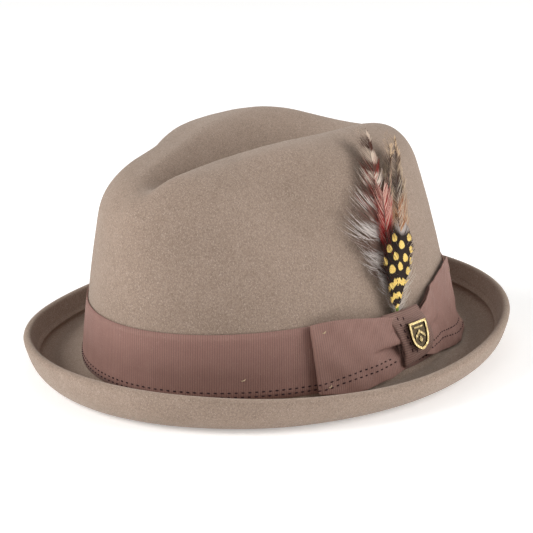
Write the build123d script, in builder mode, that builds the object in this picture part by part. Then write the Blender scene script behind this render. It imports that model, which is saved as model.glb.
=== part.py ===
from build123d import *
import os
import numpy as np

# ----------------------------------------------------------------------------
# Stingy-brim felt fedora.  Millimetres, +Z up.
# The brim stands on Z = 0, the front of the hat faces -Y, the wearer's left
# side (bow and feathers) faces +X.  Heights h are measured up the crown from
# the break, the line where crown and brim meet.
# ----------------------------------------------------------------------------

# ---- felt body: driving dimensions ----
HEAD_A = 85.0          # half width of the crown at the break, outside
HEAD_B = 107.0         # half length of the crown at the break, outside
OVAL_N = 1.966         # superellipse exponent of the head oval
FELT = 2.2             # felt thickness
BREAK_Z = 5.20         # height of the break line above the table
BREAK_TILT = 0.651     # rise of the break line from the middle to the back

TAPER_H = 106.757      # height over which the tapers act
TAPER_SIDE = 0.663     # oval scale at that height: sides
TAPER_FRONT = 1.005    # front
TAPER_BACK = 0.778     # back
EGG, EGG_TOP = 0.016, -0.003
PINCH = 10.777         # depth of the front pinch on each side
PINCH_Y, PINCH_H = -53.29, 101.6
ROUND = 19.18          # rounding radius between wall and top
ROUND_FRONT = -0.211

RIDGE = (114.385, -0.528, -6.249)      # ridge height over y/80
DENT = (90.832, 2.089, 9.116)          # bottom of the centre dent over y/80
RIDGE_FAR = (-1.826, -0.121, -1.488)   # ridge on the wearer's right
DENT_W_BACK, DENT_W_FRONT = 39.115, 9.046
DENT_W_FAR = (0.079, -1.767)
DENT_X = 0.307

BRIM_L = (35.44, -1.37, -0.078, 0.31, -0.716)   # brim width along the felt
BRIM_DROP = (10.039, -6.61, -5.322)              # first slope downwards, deg
BRIM_CURL = (70.406, -1.443, 0.273, 3.84)        # edge slope upwards, deg
BRIM_FLAT = (8.964, -0.157, 6.574)               # width before the curl
WELT_W = 10.766                                  # folded welt width
FILLET = 1.6                                     # crown to brim, outside

# ---- ribbon band, bow and trim ----
BAND_H0, BAND_H1 = 3.7, 36.2      # band from h to h
BAND_GAP, BAND_T = 0.32, 0.6
LOOP_GAP = 0.5                    # bow loop above the band surface
STITCH_H = (5.6, 7.8)             # two decorative stitch rows
STITCH_T, STITCH_W = 0.25, 0.5

# ---- inside ----
SWEAT_H0, SWEAT_H1 = 1.7, 36.0
SWEAT_T = 1.0
LINING_T = 0.4
LINING_TOP = 66.5

N = 40                                         # points round each oval
TH = np.pi / 2 + np.arange(N) * 2 * np.pi / N  # starts at the back
STEPS = [float(i) for i in range(N + 1)]       # even spline parameters, so lofts stay light


# ---- crown surface ---------------------------------------------------------
def side_dist(x, y, h):
    t = np.clip(h / TAPER_H, -0.2, 1.6)

    def tap(k):
        return 1 - (1 - k) * (0.55 * t + 0.45 * t * np.abs(t))
    a = HEAD_A * tap(TAPER_SIDE)
    b = np.where(y < 0, HEAD_B * tap(TAPER_FRONT), HEAD_B * tap(TAPER_BACK))
    a = a - PINCH * np.exp(-((y - PINCH_Y) / 26.) ** 2 - ((h - PINCH_H) / 24.) ** 2)
    r = np.sqrt(x * x + y * y) + 1e-9
    q = (np.abs(x / a) ** OVAL_N + np.abs(y / b) ** OVAL_N) ** (1 / OVAL_N)
    q = q / (1 + (EGG + EGG_TOP * t) * (y / r) * (x / r) ** 2)
    return r * (1 - 1 / np.maximum(q, 1e-6))


def top_h(x, y):
    yn = y / 80.
    front = 0.5 * (1 - np.tanh((yn + 0.45) * 1.6))
    zr = RIDGE[0] + RIDGE[1] * yn + RIDGE[2] * yn * yn
    zv = DENT[0] + DENT[1] * yn + DENT[2] * yn * yn
    w = DENT_W_BACK * (1 - front) + DENT_W_FRONT * front
    xv = DENT_X * front
    far = (x - xv) < 0
    zr = np.where(far, zr + RIDGE_FAR[0] + RIDGE_FAR[1] * yn + RIDGE_FAR[2] * yn * yn, zr)
    w = np.where(far, w + DENT_W_FAR[0] * front + DENT_W_FAR[1] * (1 - front), w)
    q = np.abs(x - xv) / w
    return zv + (zr - zv) * np.where(q < 1, 0.5 - 0.5 * np.cos(np.pi * np.clip(q, 0, 1)), 1.0)


def field(x, y, h):
    """Distance outside the crown's outer surface, roughly in millimetres."""
    ds = side_dist(x, y, h)
    dt = (h - top_h(x, y)) * 0.9
    k = ROUND + ROUND_FRONT * 0.5 * (1 - np.tanh((y / 80. + 0.45) * 1.6))
    u, v = np.maximum(ds + k, 0), np.maximum(dt + k, 0)
    return np.minimum(np.maximum(ds, dt), -k) + np.sqrt(u * u + v * v)


def radius(th, h, d=0.0):
    """Radius at which the field is d, at polar angle th and height h."""
    th, h = np.broadcast_arrays(np.asarray(th, float), np.asarray(h, float))
    lo, hi = np.full(th.shape, 4.), np.full(th.shape, 160.)
    for _ in range(40):
        m = (lo + hi) / 2
        f = field(m * np.cos(th), m * np.sin(th), h) - d
        lo, hi = np.where(f < 0, m, lo), np.where(f < 0, hi, m)
    return (lo + hi) / 2


def to_world(p):
    """Lift (x, y, h) points on to the tilted break plane."""
    p = np.array(p, float)
    p[..., 2] += BREAK_Z + BREAK_TILT * p[..., 1] / HEAD_B
    return p


def crown_rows():
    """Closed rows of crown points, from next to the dent's middle downwards."""
    zs, rows = 52., []
    for deg in (84, 77, 70, 63, 56.5, 50, 44, 38, 32, 25, 17, 8):
        c, s = np.cos(np.radians(deg)), np.sin(np.radians(deg))
        lo, hi = np.full(N, 3.), np.full(N, 150.)
        for _ in range(40):
            m = (lo + hi) / 2
            f = field(m * c * np.cos(TH), m * c * np.sin(TH), zs + m * s)
            lo, hi = np.where(f < 0, m, lo), np.where(f < 0, hi, m)
        r = (lo + hi) / 2
        rows.append(np.stack([r * c * np.cos(TH), r * c * np.sin(TH), zs + r * s], -1))
    for h in (47., 36., 25., 15., 7.5, 4.0, 2.4):
        r = radius(TH, h)
        rows.append(np.stack([r * np.cos(TH), r * np.sin(TH), np.full(N, h)], -1))
    return rows


def inward(rows, t):
    """The same rows moved inwards by the felt thickness along the normal."""
    out = []
    for p in rows:
        x, y, h = p[:, 0], p[:, 1], p[:, 2]
        e = 0.05
        g = np.stack([field(x + e, y, h) - field(x - e, y, h),
                      field(x, y + e, h) - field(x, y - e, h),
                      field(x, y, h + e) - field(x, y, h - e)], -1)
        out.append(p - t * g / np.linalg.norm(g, axis=1, keepdims=True))
    return out


def dent_middle():
    lo, hi = 3., 150.
    for _ in range(50):
        m = (lo + hi) / 2
        if field(np.array(1e-6), np.array(0.), np.array(52. + m)) < 0:
            lo = m
        else:
            hi = m
    return 52. + lo


# ---- brim ------------------------------------------------------------------
def harm(c, th=TH):
    c = list(c) + [0.] * (5 - len(c))
    return c[0] + c[1] * np.sin(th) + c[2] * np.cos(2 * th) + c[3] * np.sin(3 * th) + c[4] * np.cos(4 * th)


def oval_frame():
    e = 1e-4

    def pt(t):
        r = (np.abs(np.cos(t) / HEAD_A) ** OVAL_N + np.abs(np.sin(t) / HEAD_B) ** OVAL_N) ** (-1 / OVAL_N)
        r = r * (1 + EGG * np.sin(t) * np.cos(t) ** 2)
        return np.stack([r * np.cos(t), r * np.sin(t)], -1)
    a, d = pt(TH), pt(TH + e) - pt(TH - e)
    d = d / np.linalg.norm(d, axis=-1, keepdims=True)
    return a, np.stack([d[:, 1], -d[:, 0]], -1)


OVAL, OUT = oval_frame()
_L, _drop, _curl, _flat = harm(BRIM_L), np.radians(harm(BRIM_DROP)), np.radians(harm(BRIM_CURL)), harm(BRIM_FLAT)
_n = 241
_t = np.linspace(0, 1, _n)[:, None]
_q = np.clip((_t * _L - _flat) / (_L * 0.92 - _flat), 0, 1)
_al = -_drop + (_curl + _drop) * (_q * _q * (3 - 2 * _q))
_ds = _L / (_n - 1)
_S = np.concatenate([np.zeros((1, N)), np.cumsum(0.5 * (np.cos(_al[1:]) + np.cos(_al[:-1])) * _ds, 0)])
_Z = np.concatenate([np.zeros((1, N)), np.cumsum(0.5 * (np.sin(_al[1:]) + np.sin(_al[:-1])) * _ds, 0)])


def brim_mid(l):
    """Brim middle line at length l (one per angle): s, z and slope."""
    i = np.clip(np.asarray(l, float) / _L * (_n - 1), 0, _n - 1.0001)
    k = i.astype(int)
    f, j = i - k, np.arange(N)
    return tuple(A[k, j] * (1 - f) + A[k + 1, j] * f for A in (_S, _Z, _al))


def brim_row(l, off, ds=0.0, dz=0.0):
    s, z, al = brim_mid(np.broadcast_to(l, (N,)))
    s, z = s - np.sin(al) * off + ds, z + np.cos(al) * off + dz
    xy = OVAL + OUT * np.reshape(s, (N, 1))
    return np.concatenate([xy, np.reshape(z, (N, 1))], 1)


# ---- solids from closed rows -----------------------------------------------
def closed_edge(p):
    return Edge.make_spline([tuple(map(float, q)) for q in p], periodic=True, parameters=STEPS)


def closed_wire(p):
    return Wire([closed_edge(p)])


def sewn(*groups):
    """One solid from groups of closed rows that share their end rows."""
    faces = []
    for ruled, rows in groups:
        faces += list(Shell.make_loft(rows, ruled).faces())
    return Solid(Shell(faces))


def felt_solid():
    outer = crown_rows()
    inner = inward(outer, FELT)
    half = FELT / 2
    outer = [to_world(r) for r in outer]
    inner = [to_world(r) for r in inner]
    rise = BREAK_Z + BREAK_TILT * np.sin(TH)
    lift = np.stack([np.zeros(N), np.zeros(N), rise], -1)
    edge = _L - WELT_W
    # crown foot, brim top up to the folded welt, welt, rounded edge, underside
    foot = [brim_row(0.12, half, ds=-0.02, dz=FILLET * 0.56) + lift,
            brim_row(0.75, half, dz=FILLET * 0.2) + lift,
            brim_row(1.7, half, dz=FILLET * 0.02) + lift]
    top = [brim_row(3.0 + (edge - 3.0) * f, half) + lift for f in (0, 0.25, 0.5, 0.75, 1.0)]
    welt = [brim_row(edge + f * WELT_W, half + FELT) + lift for f in (0.03, 0.26, 0.5, 0.74, 0.99)]
    s, z, al = brim_mid(_L)
    ms, mz, r = s - np.sin(al) * (FELT - half), z + np.cos(al) * (FELT - half), FELT
    cap = []
    for b in np.radians((60, 30, 0, -30, -60)):
        cs = ms + r * (np.cos(al) * np.cos(b) - np.sin(al) * np.sin(b))
        cz = mz + r * (np.sin(al) * np.cos(b) + np.cos(al) * np.sin(b))
        cap.append(np.concatenate([OVAL + OUT * cs[:, None], cz[:, None]], 1) + lift)
    under = [brim_row(_L * f, -half) + lift for f in (0.985, 0.9, 0.81, 0.72, 0.63, 0.54, 0.45, 0.36, 0.27, 0.18, 0.09)]
    turn = [brim_row(0.0, -half, ds=-0.75, dz=0.30) + lift,
            brim_row(0.0, -half, ds=-1.70, dz=1.15) + lift,
            inner[-1], inner[-2]]
    groups = [(False, outer[:-1]), (False, outer[-2:] + foot + top[:1]), (False, top), (True, [top[-1], welt[0]]),
              (False, welt), (False, welt[-1:] + cap + under[:1]), (False, under),
              (False, under[-1:] + turn), (False, inner[:-1][::-1])]
    wires = {}
    for _, rows in groups:
        for row in rows:
            wires.setdefault(id(row), closed_wire(row))
    made = [(ruled, [wires[id(row)] for row in rows]) for ruled, rows in groups]
    made[0][1].insert(0, Vertex(0, 0, dent_middle() + BREAK_Z))
    made[-1][1].append(Vertex(0, 0, dent_middle() + BREAK_Z - FELT))
    return sewn(*made)


BREAK = Plane(origin=(0, 0, BREAK_Z), x_dir=(1, 0, 0), z_dir=(0, -BREAK_TILT / HEAD_B, 1))


def oval(h, d):
    """Oval at height h, d outside the crown, in the break plane's own axes."""
    r = radius(TH, h, d)
    return closed_edge([(a, b, 0) for a, b in zip(r * np.cos(TH), r * np.sin(TH))])


def pt(th_deg, h, d):
    """World point on the crown wall at angle, height and distance outside it."""
    th = np.radians(th_deg)
    r = float(radius(th, h, d))
    p = np.array([r * np.cos(th), r * np.sin(th), h])
    return to_world(p)


def station(th_deg):
    """Vertical plane through the crown's axis at an angle, local x outwards."""
    t = np.radians(th_deg)
    return Plane(origin=(0, 0, 0), x_dir=(float(np.cos(t)), float(np.sin(t)), 0),
                 z_dir=(float(np.sin(t)), float(-np.cos(t)), 0))


def wall_line(th_deg, h0, h1, d0, d1, n=5):
    """Points up the crown wall inside a station plane; the distance bulges."""
    out = []
    for i in range(n):
        f = i / (n - 1)
        h = h0 + (h1 - h0) * f
        d = d0 + (d1 - d0) * np.sin(np.pi * f)
        p = pt(th_deg, h, d)
        out.append((float(np.hypot(p[0], p[1])), float(p[2])))
    return out


def blade_planes(path, roll=0.0):
    """Section planes along a feather's shaft: x across the vane, z along it."""
    P = np.array(path, float)
    pl = []
    for i in range(len(P)):
        d = P[min(i + 1, len(P) - 1)] - P[max(i - 1, 0)]
        d = d / np.linalg.norm(d)
        side = np.cross(d, np.array([1.0, 0.0, 0.25]))
        side = side / np.linalg.norm(side)
        pl.append(Plane(origin=tuple(P[i]), x_dir=tuple(side), z_dir=tuple(d)))
    return pl


os.makedirs("parts", exist_ok=True)
ALL = []


def save(b, name):
    b.part.label = name
    export_step(b.part, "parts/%s.step" % name)
    ALL.append(name)


# ============================ felt body ======================================
with BuildPart() as felt_body:
    add(felt_solid())
save(felt_body, "felt_body")

# thread of the welt: a fine row on the folded edge, near the welt's inner edge
_edge = _L - WELT_W
_lift = np.stack([np.zeros(N), np.zeros(N), BREAK_Z + BREAK_TILT * np.sin(TH)], -1)
_w = [closed_wire(brim_row(_edge + a, FELT / 2 + FELT + o) + _lift)
      for a, o in ((3.3, 0.08), (3.3, 0.38), (3.9, 0.38), (3.9, 0.08))]
with BuildPart() as welt_stitching:
    add(sewn((True, [_w[0], _w[1]]), (True, [_w[1], _w[2]]), (True, [_w[2], _w[3]]), (True, [_w[3], _w[0]])))
save(welt_stitching, "welt_stitching")

# ============================ ribbon band ====================================
with BuildPart() as hat_band:
    for h in np.linspace(BAND_H0, BAND_H1, 5):
        with BuildSketch(BREAK.offset(float(h))):
            with BuildLine():
                add(oval(h, BAND_GAP + BAND_T))
            make_face()
    loft()
    for h in np.linspace(BAND_H0 - 0.6, BAND_H1 + 0.6, 5):
        with BuildSketch(BREAK.offset(float(h))):
            with BuildLine():
                add(oval(h, BAND_GAP))
            make_face()
    loft(mode=Mode.SUBTRACT)
save(hat_band, "hat_band")

with BuildPart() as band_stitching:
    for h0 in STITCH_H:
        for d, m in ((BAND_GAP + BAND_T + 0.06 + STITCH_T, Mode.ADD), (BAND_GAP + BAND_T + 0.06, Mode.SUBTRACT)):
            e = 0.0 if m == Mode.ADD else 0.3
            for h in (h0 - STITCH_W / 2 - e, h0 + STITCH_W / 2 + e):
                with BuildSketch(BREAK.offset(float(h))):
                    with BuildLine():
                        add(oval(h, d))
                    make_face()
            loft(mode=m)
save(band_stitching, "band_stitching")

# small thread tacks that hold the band and the bow's ends
TACKS = [(-58.6, 13.8, 0.98), (-34.6, 33.0, 4.5), (-33.6, 7.6, 4.5), (47.5, 33.0, 4.8), (47.5, 8.0, 4.8), (150., 12., 0.98)]
with BuildPart() as band_tacks:
    for a, h, d in TACKS:
        p = pt(a, h, d + 0.3)
        with Locations(Plane(origin=tuple(p), z_dir=(float(np.cos(np.radians(a))), float(np.sin(np.radians(a))), 0.15))):
            Cylinder(0.7, 0.35)
save(band_tacks, "band_tacks")

# ============================ bow ============================================
B0 = BAND_GAP + BAND_T + LOOP_GAP


def loop_sections(rows):
    """Upright sections of a ribbon loop, one for each angle."""
    out = []
    for a, h0, h1, di, do, bulge in rows:
        with BuildSketch(station(a)) as section:
            inner = wall_line(a, h0, h1, di, di)
            outer = wall_line(a, h0, h1, do, do + bulge)
            with BuildLine():
                Spline(*inner)
                Line(inner[-1], outer[-1])
                Spline(*outer[::-1])
                Line(outer[0], inner[0])
            make_face()
        out.append(section.sketch.face())
    return out


with BuildPart() as bow_front_loop:
    loft(loop_sections([(-37.0, 3.6, 36.6, B0, B0 + 2.0, 0.4),
                   (-31.0, 3.4, 37.0, B0, B0 + 2.6, 0.8),
                   (-24.0, 3.2, 36.6, B0, B0 + 3.4, 1.2),
                   (-17.0, 3.8, 34.8, B0 + 0.6, B0 + 4.4, 1.2),
                   (-11.0, 6.2, 33.0, B0 + 2.2, B0 + 5.0, 0.8),
                   (-6.6, 9.8, 32.4, B0 + 3.9, B0 + 5.5, 0.3)]))
save(bow_front_loop, "bow_front_loop")

with BuildPart() as bow_rear_loop:
    loft(loop_sections([(9.6, 9.8, 32.4, B0 + 3.9, B0 + 5.5, 0.3),
                   (13.5, 6.4, 33.6, B0 + 2.2, B0 + 5.0, 0.8),
                   (20.0, 4.4, 36.2, B0 + 0.6, B0 + 4.4, 1.2),
                   (28.0, 3.4, 38.0, B0, B0 + 3.4, 1.2),
                   (38.0, 3.4, 38.4, B0, B0 + 2.8, 0.8),
                   (50.5, 3.6, 36.8, B0, B0 + 2.0, 0.4)]))
save(bow_rear_loop, "bow_rear_loop")

# gathered middle of the bow, inside the knot
with BuildPart() as bow_waist:
    loft(loop_sections([(a, 11.0, 31.6, B0 + 4.15, B0 + 5.35, 0.2) for a in (-6.1, -1.0, 4.0, 9.1)]))
save(bow_waist, "bow_waist")

# ribbon knot: a flat tube wrapped round the gathered middle
with BuildPart() as bow_knot:
    loft(loop_sections([(a, 8.2, 34.4, B0 + 2.9, B0 + 6.4, 1.9) for a in (-5.6, -1.0, 4.0, 8.6)]))
    loft(loop_sections([(a, 9.4, 33.2, B0 + 3.95, B0 + 5.7, 0.3) for a in (-7.0, -1.0, 4.0, 10.0)]), mode=Mode.SUBTRACT)
save(bow_knot, "bow_knot")

with BuildPart() as knot_stitching:
    for a in (-4.4, -2.9):
        q = [pt(a, 11.5 + i * 3.4, B0 + 7.0 + 1.9 * np.sin(np.pi * (3.3 + i * 3.4) / 26.2)) for i in range(7)]
        n = np.array([np.cos(np.radians(a)), np.sin(np.radians(a)), 0.1])
        for p0, p1 in zip(q[:-1], q[1:]):
            m, d = (p0 + p1) / 2, (p1 - p0)
            L = float(np.linalg.norm(d))
            with BuildSketch(Plane(origin=tuple(m - d / L * 0.9), x_dir=tuple(np.cross(d / L, n)), z_dir=tuple(d / L))):
                Rectangle(0.5, 0.3)
            extrude(amount=1.8)
save(knot_stitching, "knot_stitching")

# ============================ shield badge ===================================
BADGE_W, BADGE_H, BADGE_T = 12.4, 14.8, 1.3
_bc = pt(0.3, 22.7, B0 + 9.5)
_bn = np.array([np.cos(np.radians(-4.5)), np.sin(np.radians(-4.5)), 0.33])   # faces a little up and forwards
_bn = _bn / np.linalg.norm(_bn)
_lean = np.radians(1.0)
_bx0 = np.cross(np.array([0, 0, 1.0]), _bn)
_bx0 = _bx0 / np.linalg.norm(_bx0)
_by0 = np.cross(_bn, _bx0)
_bx = _bx0 * np.cos(_lean) + _by0 * np.sin(_lean)
BADGE = Plane(origin=tuple(_bc), x_dir=tuple(_bx), z_dir=tuple(_bn))


def shield(w, h):
    """Sides of a shield with a straight top, w wide and h high, about its middle."""
    top = [(-w / 2, h * 0.46), (w / 2, h * 0.46)]
    right = [(w / 2, h * 0.46), (w * 0.5, h * 0.2), (w * 0.485, -h * 0.05), (w * 0.40, -h * 0.27), (w * 0.22, -h * 0.42), (0, -h * 0.5)]
    return top, right, [(-x, y) for x, y in right[::-1]]


with BuildPart() as badge_shield:
    with BuildSketch(BADGE):
        with BuildLine():
            for side in shield(BADGE_W, BADGE_H):
                Spline(*side)
        make_face()
    extrude(amount=BADGE_T)
    with BuildSketch(BADGE.offset(BADGE_T)):
        with BuildLine():
            for side in shield(BADGE_W - 2.2, BADGE_H - 2.4):
                Spline(*side)
        make_face()
    extrude(amount=-0.6, mode=Mode.SUBTRACT)
save(badge_shield, "badge_shield")

# plain inlay in the recess: a chevron and a lozenge
with BuildPart() as badge_emblem:
    with BuildSketch(BADGE.offset(BADGE_T - 0.58)):
        with BuildLine():
            Polyline((-3.4, -0.2), (0, 2.6), (3.4, -0.2), (3.4, -1.7), (0, 1.1), (-3.4, -1.7), close=True)
        make_face()
        with BuildLine():
            Polyline((0, -0.6), (1.3, -2.3), (0, -4.0), (-1.3, -2.3), close=True)
        make_face()
        with BuildLine():
            Polyline((-3.2, 4.3), (3.2, 4.3), (3.2, 3.5), (-3.2, 3.5), close=True)
        make_face()
    extrude(amount=0.45)
save(badge_emblem, "badge_emblem")

# two wire prongs that go through the knot's front and bend flat behind it
with BuildPart() as badge_prongs:
    for sx in (-3.0, 3.0):
        with BuildSketch(BADGE.offset(-0.02)):
            with Locations((sx, 0.6)):
                Rectangle(0.9, 0.35)
        extrude(amount=-1.0)
save(badge_prongs, "badge_prongs")

# ============================ feathers =======================================
STEM_D = 2.35
_s0, _s1 = pt(-4.2, 14.0, STEM_D), pt(-2.4, 34.0, STEM_D)
_sd = (_s1 - _s0) / np.linalg.norm(_s1 - _s0)
STEM_L = float(np.linalg.norm(_s1 - _s0))
STEM = Plane(origin=tuple(_s0), x_dir=tuple(np.cross(_sd, (1, 0, 0))), z_dir=tuple(_sd))

with BuildPart() as feather_stems:
    with BuildSketch(STEM):
        with GridLocations(0.84, 0.84, 2, 2):
            Circle(0.38)
    extrude(amount=STEM_L)
save(feather_stems, "feather_stems")

with BuildPart() as feather_binding:
    with BuildSketch(STEM.offset(3.0)):
        Circle(1.25)
        Circle(1.02, mode=Mode.SUBTRACT)
    extrude(amount=STEM_L - 4.0)
save(feather_binding, "feather_binding")

VANE_T = 0.5
# each feather: (angle, height, distance, width) up its shaft
FEATHERS = {
    "brown_hackle": [(-2.0, 36.0, 1.35, 3.0), (0.6, 46.0, 1.5, 8.0), (2.6, 58.0, 1.7, 11.0), (6.0, 72.0, 2.2, 14.0),
                     (11.4, 88.5, 3.6, 12.0), (16.0, 102.0, 7.6, 8.0), (21.5, 111.6, 11.6, 2.5)],
    "grizzly_hackle": [(-5.0, 36.6, 2.3, 3.0), (-6.2, 47.0, 2.5, 8.0), (-6.4, 58.0, 2.7, 11.0), (-6.4, 70.0, 3.1, 14.0),
                       (-5.2, 85.4, 4.6, 17.0), (-3.0, 103.0, 8.4, 9.0), (4.0, 116.4, 12.4, 2.5)],
    "red_hackle": [(-3.3, 37.4, 3.3, 3.0), (-2.2, 48.0, 3.5, 6.0), (-1.4, 58.2, 3.8, 8.0), (0.6, 72.0, 4.6, 9.0), (3.0, 84.0, 6.0, 3.0)],
    "guinea_feather": [(-2.4, 36.2, 4.5, 2.6), (-1.2, 43.0, 4.7, 7.0), (1.0, 51.0, 5.0, 11.0), (2.8, 60.0, 5.4, 12.0), (5.2, 69.6, 6.2, 6.0)],
}


def vane_sections(rows):
    """Thin cross sections of a feather's vane, up its shaft."""
    out = []
    for plane, row in zip(blade_planes([pt(a, h, d) for a, h, d, w in rows]), rows):
        with BuildSketch(plane) as section:
            Rectangle(row[3], VANE_T)
        out.append(section.sketch.face())
    return out


with BuildPart() as brown_hackle:
    loft(vane_sections(FEATHERS["brown_hackle"]))
save(brown_hackle, "brown_hackle")
with BuildPart() as grizzly_hackle:
    loft(vane_sections(FEATHERS["grizzly_hackle"]))
save(grizzly_hackle, "grizzly_hackle")
with BuildPart() as red_hackle:
    loft(vane_sections(FEATHERS["red_hackle"]))
save(red_hackle, "red_hackle")
with BuildPart() as guinea_feather:
    loft(vane_sections(FEATHERS["guinea_feather"]))
save(guinea_feather, "guinea_feather")


# ============================ inside of the crown ============================
with BuildPart() as sweatband:
    for h in np.linspace(SWEAT_H0, SWEAT_H1, 5):
        with BuildSketch(BREAK.offset(float(h))):
            with BuildLine():
                add(oval(h, -FELT - 1.05))
            make_face()
    loft()
    for h in np.linspace(SWEAT_H0 - 0.6, SWEAT_H1 + 0.6, 5):
        with BuildSketch(BREAK.offset(float(h))):
            with BuildLine():
                add(oval(h, -FELT - 1.05 - SWEAT_T))
            make_face()
    loft(mode=Mode.SUBTRACT)
save(sweatband, "sweatband")

# covered reed: the stiff cord that the sweatband's lower edge is sewn to
with BuildPart() as sweatband_reed:
    for d, e, m in ((-FELT - 0.75, 0.0, Mode.ADD), (-FELT - 2.15, 0.5, Mode.SUBTRACT)):
        for h in (0.25 - e, 1.5 + e):
            with BuildSketch(BREAK.offset(float(h))):
                with BuildLine():
                    add(oval(h, d))
                make_face()
        loft(mode=m)
save(sweatband_reed, "sweatband_reed")

# cotton tape between the felt and the sweatband
with BuildPart() as sweatband_tape:
    for d, e, m in ((-FELT - 0.25, 0.0, Mode.ADD), (-FELT - 0.65, 0.5, Mode.SUBTRACT)):
        for h in (3.6 - e, 9.6 + e):
            with BuildSketch(BREAK.offset(float(h))):
                with BuildLine():
                    add(oval(h, d))
                make_face()
        loft(mode=m)
save(sweatband_tape, "sweatband_tape")

# stitch row round the sweatband, seen from inside
with BuildPart() as sweatband_stitching:
    for d, e, m in ((-FELT - 1.05 - SWEAT_T - 0.06, 0.0, Mode.ADD), (-FELT - 1.05 - SWEAT_T - 0.34, 0.3, Mode.SUBTRACT)):
        for h in (4.4 - e, 4.9 + e):
            with BuildSketch(BREAK.offset(float(h))):
                with BuildLine():
                    add(oval(h, d))
                make_face()
        loft(mode=m)
save(sweatband_stitching, "sweatband_stitching")

# small ribbon bow over the sweatband's seam at the back
_ps = pt(90.0, 22.0, -FELT - 1.05 - SWEAT_T - 1.7)
with BuildPart() as sweatband_bow:
    with BuildSketch(Plane(origin=tuple(_ps), x_dir=(1, 0, 0), z_dir=(0, -1, 0.05))):
        with BuildLine():
            Polyline((-9, 3.2), (-1.5, 1.1), (1.5, 1.1), (9, 3.2), (9, -3.2), (1.5, -1.1), (-1.5, -1.1), (-9, -3.2), close=True)
        make_face()
    extrude(amount=1.2)
save(sweatband_bow, "sweatband_bow")

# satin lining: side panel, piping and flat tip
with BuildPart() as lining_side:
    for h in np.linspace(11.0, LINING_TOP, 6):
        with BuildSketch(BREAK.offset(float(h))):
            with BuildLine():
                add(oval(h, -FELT - 0.3 - 0.9 * max(0., (h - 34.) / 32.)))
            make_face()
    loft()
    for h in np.linspace(10.0, LINING_TOP + 1.0, 6):
        with BuildSketch(BREAK.offset(float(h))):
            with BuildLine():
                add(oval(h, -FELT - 0.3 - LINING_T - 0.9 * max(0., (h - 34.) / 32.)))
            make_face()
    loft(mode=Mode.SUBTRACT)
save(lining_side, "lining_side")

with BuildPart() as lining_piping:
    for d, e, m in ((-FELT - 1.5, 0.0, Mode.ADD), (-FELT - 2.9, 0.5, Mode.SUBTRACT)):
        for h in (LINING_TOP + 0.2 - e, LINING_TOP + 1.6 + e):
            with BuildSketch(BREAK.offset(float(h))):
                with BuildLine():
                    add(oval(h, d))
                make_face()
        loft(mode=m)
save(lining_piping, "lining_piping")

with BuildPart() as lining_tip:
    with BuildSketch(BREAK.offset(LINING_TOP + 1.8)):
        with BuildLine():
            add(oval(LINING_TOP + 1.8, -FELT - 1.6))
        make_face()
    extrude(amount=0.5)
save(lining_tip, "lining_tip")

print(len(ALL), "nodes")
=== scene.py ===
import math
import bpy
import numpy as np
from mathutils import Matrix, Vector


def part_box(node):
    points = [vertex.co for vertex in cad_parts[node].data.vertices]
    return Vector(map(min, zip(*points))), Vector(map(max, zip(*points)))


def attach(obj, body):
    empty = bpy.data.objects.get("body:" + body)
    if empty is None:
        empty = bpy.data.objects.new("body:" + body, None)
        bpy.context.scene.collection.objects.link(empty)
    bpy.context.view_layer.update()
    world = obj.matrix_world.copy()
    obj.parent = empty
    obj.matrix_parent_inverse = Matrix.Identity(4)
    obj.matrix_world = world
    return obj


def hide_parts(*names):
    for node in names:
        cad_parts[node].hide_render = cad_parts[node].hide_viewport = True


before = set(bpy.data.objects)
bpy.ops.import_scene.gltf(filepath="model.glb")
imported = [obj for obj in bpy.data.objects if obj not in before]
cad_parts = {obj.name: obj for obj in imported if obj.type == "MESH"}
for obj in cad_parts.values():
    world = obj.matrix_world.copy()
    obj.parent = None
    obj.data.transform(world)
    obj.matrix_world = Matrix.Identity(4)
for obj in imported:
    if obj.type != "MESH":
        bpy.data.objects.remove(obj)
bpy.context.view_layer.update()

rng = np.random.default_rng(41)
MM = 0.001

# ----------------------------------------------------------------------------
# Shape of the hat, in millimetres: the same surfaces as the CAD model.
# th is the angle round the crown, h the height above the break, d the distance
# outside the crown.  The front of the hat faces -Y, the bow faces +X.
# ----------------------------------------------------------------------------
HEAD_A, HEAD_B, OVAL_N, FELT = 85.0, 107.0, 1.966, 2.2
BREAK_Z, BREAK_TILT = 5.20, 0.651
TAPER_H, TAPER_SIDE, TAPER_FRONT, TAPER_BACK = 106.757, 0.663, 1.005, 0.778
EGG, EGG_TOP = 0.016, -0.003
PINCH, PINCH_Y, PINCH_H = 10.777, -53.29, 101.6
ROUND, ROUND_FRONT = 19.18, -0.211
RIDGE = (114.385, -0.528, -6.249)
DENT = (90.832, 2.089, 9.116)
RIDGE_FAR = (-1.826, -0.121, -1.488)
DENT_W_BACK, DENT_W_FRONT, DENT_W_FAR, DENT_X = 39.115, 9.046, (0.079, -1.767), 0.307
BRIM_L = (35.44, -1.37, -0.078, 0.31, -0.716)
BRIM_DROP = (10.039, -6.61, -5.322)
BRIM_CURL = (70.406, -1.443, 0.273, 3.84)
BRIM_FLAT = (8.964, -0.157, 6.574)
WELT_W, FILLET = 10.766, 1.6
BAND_H0, BAND_H1, BAND_GAP, BAND_T = 3.7, 36.2, 0.32, 0.6
B0 = BAND_GAP + BAND_T + 0.5


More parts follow.
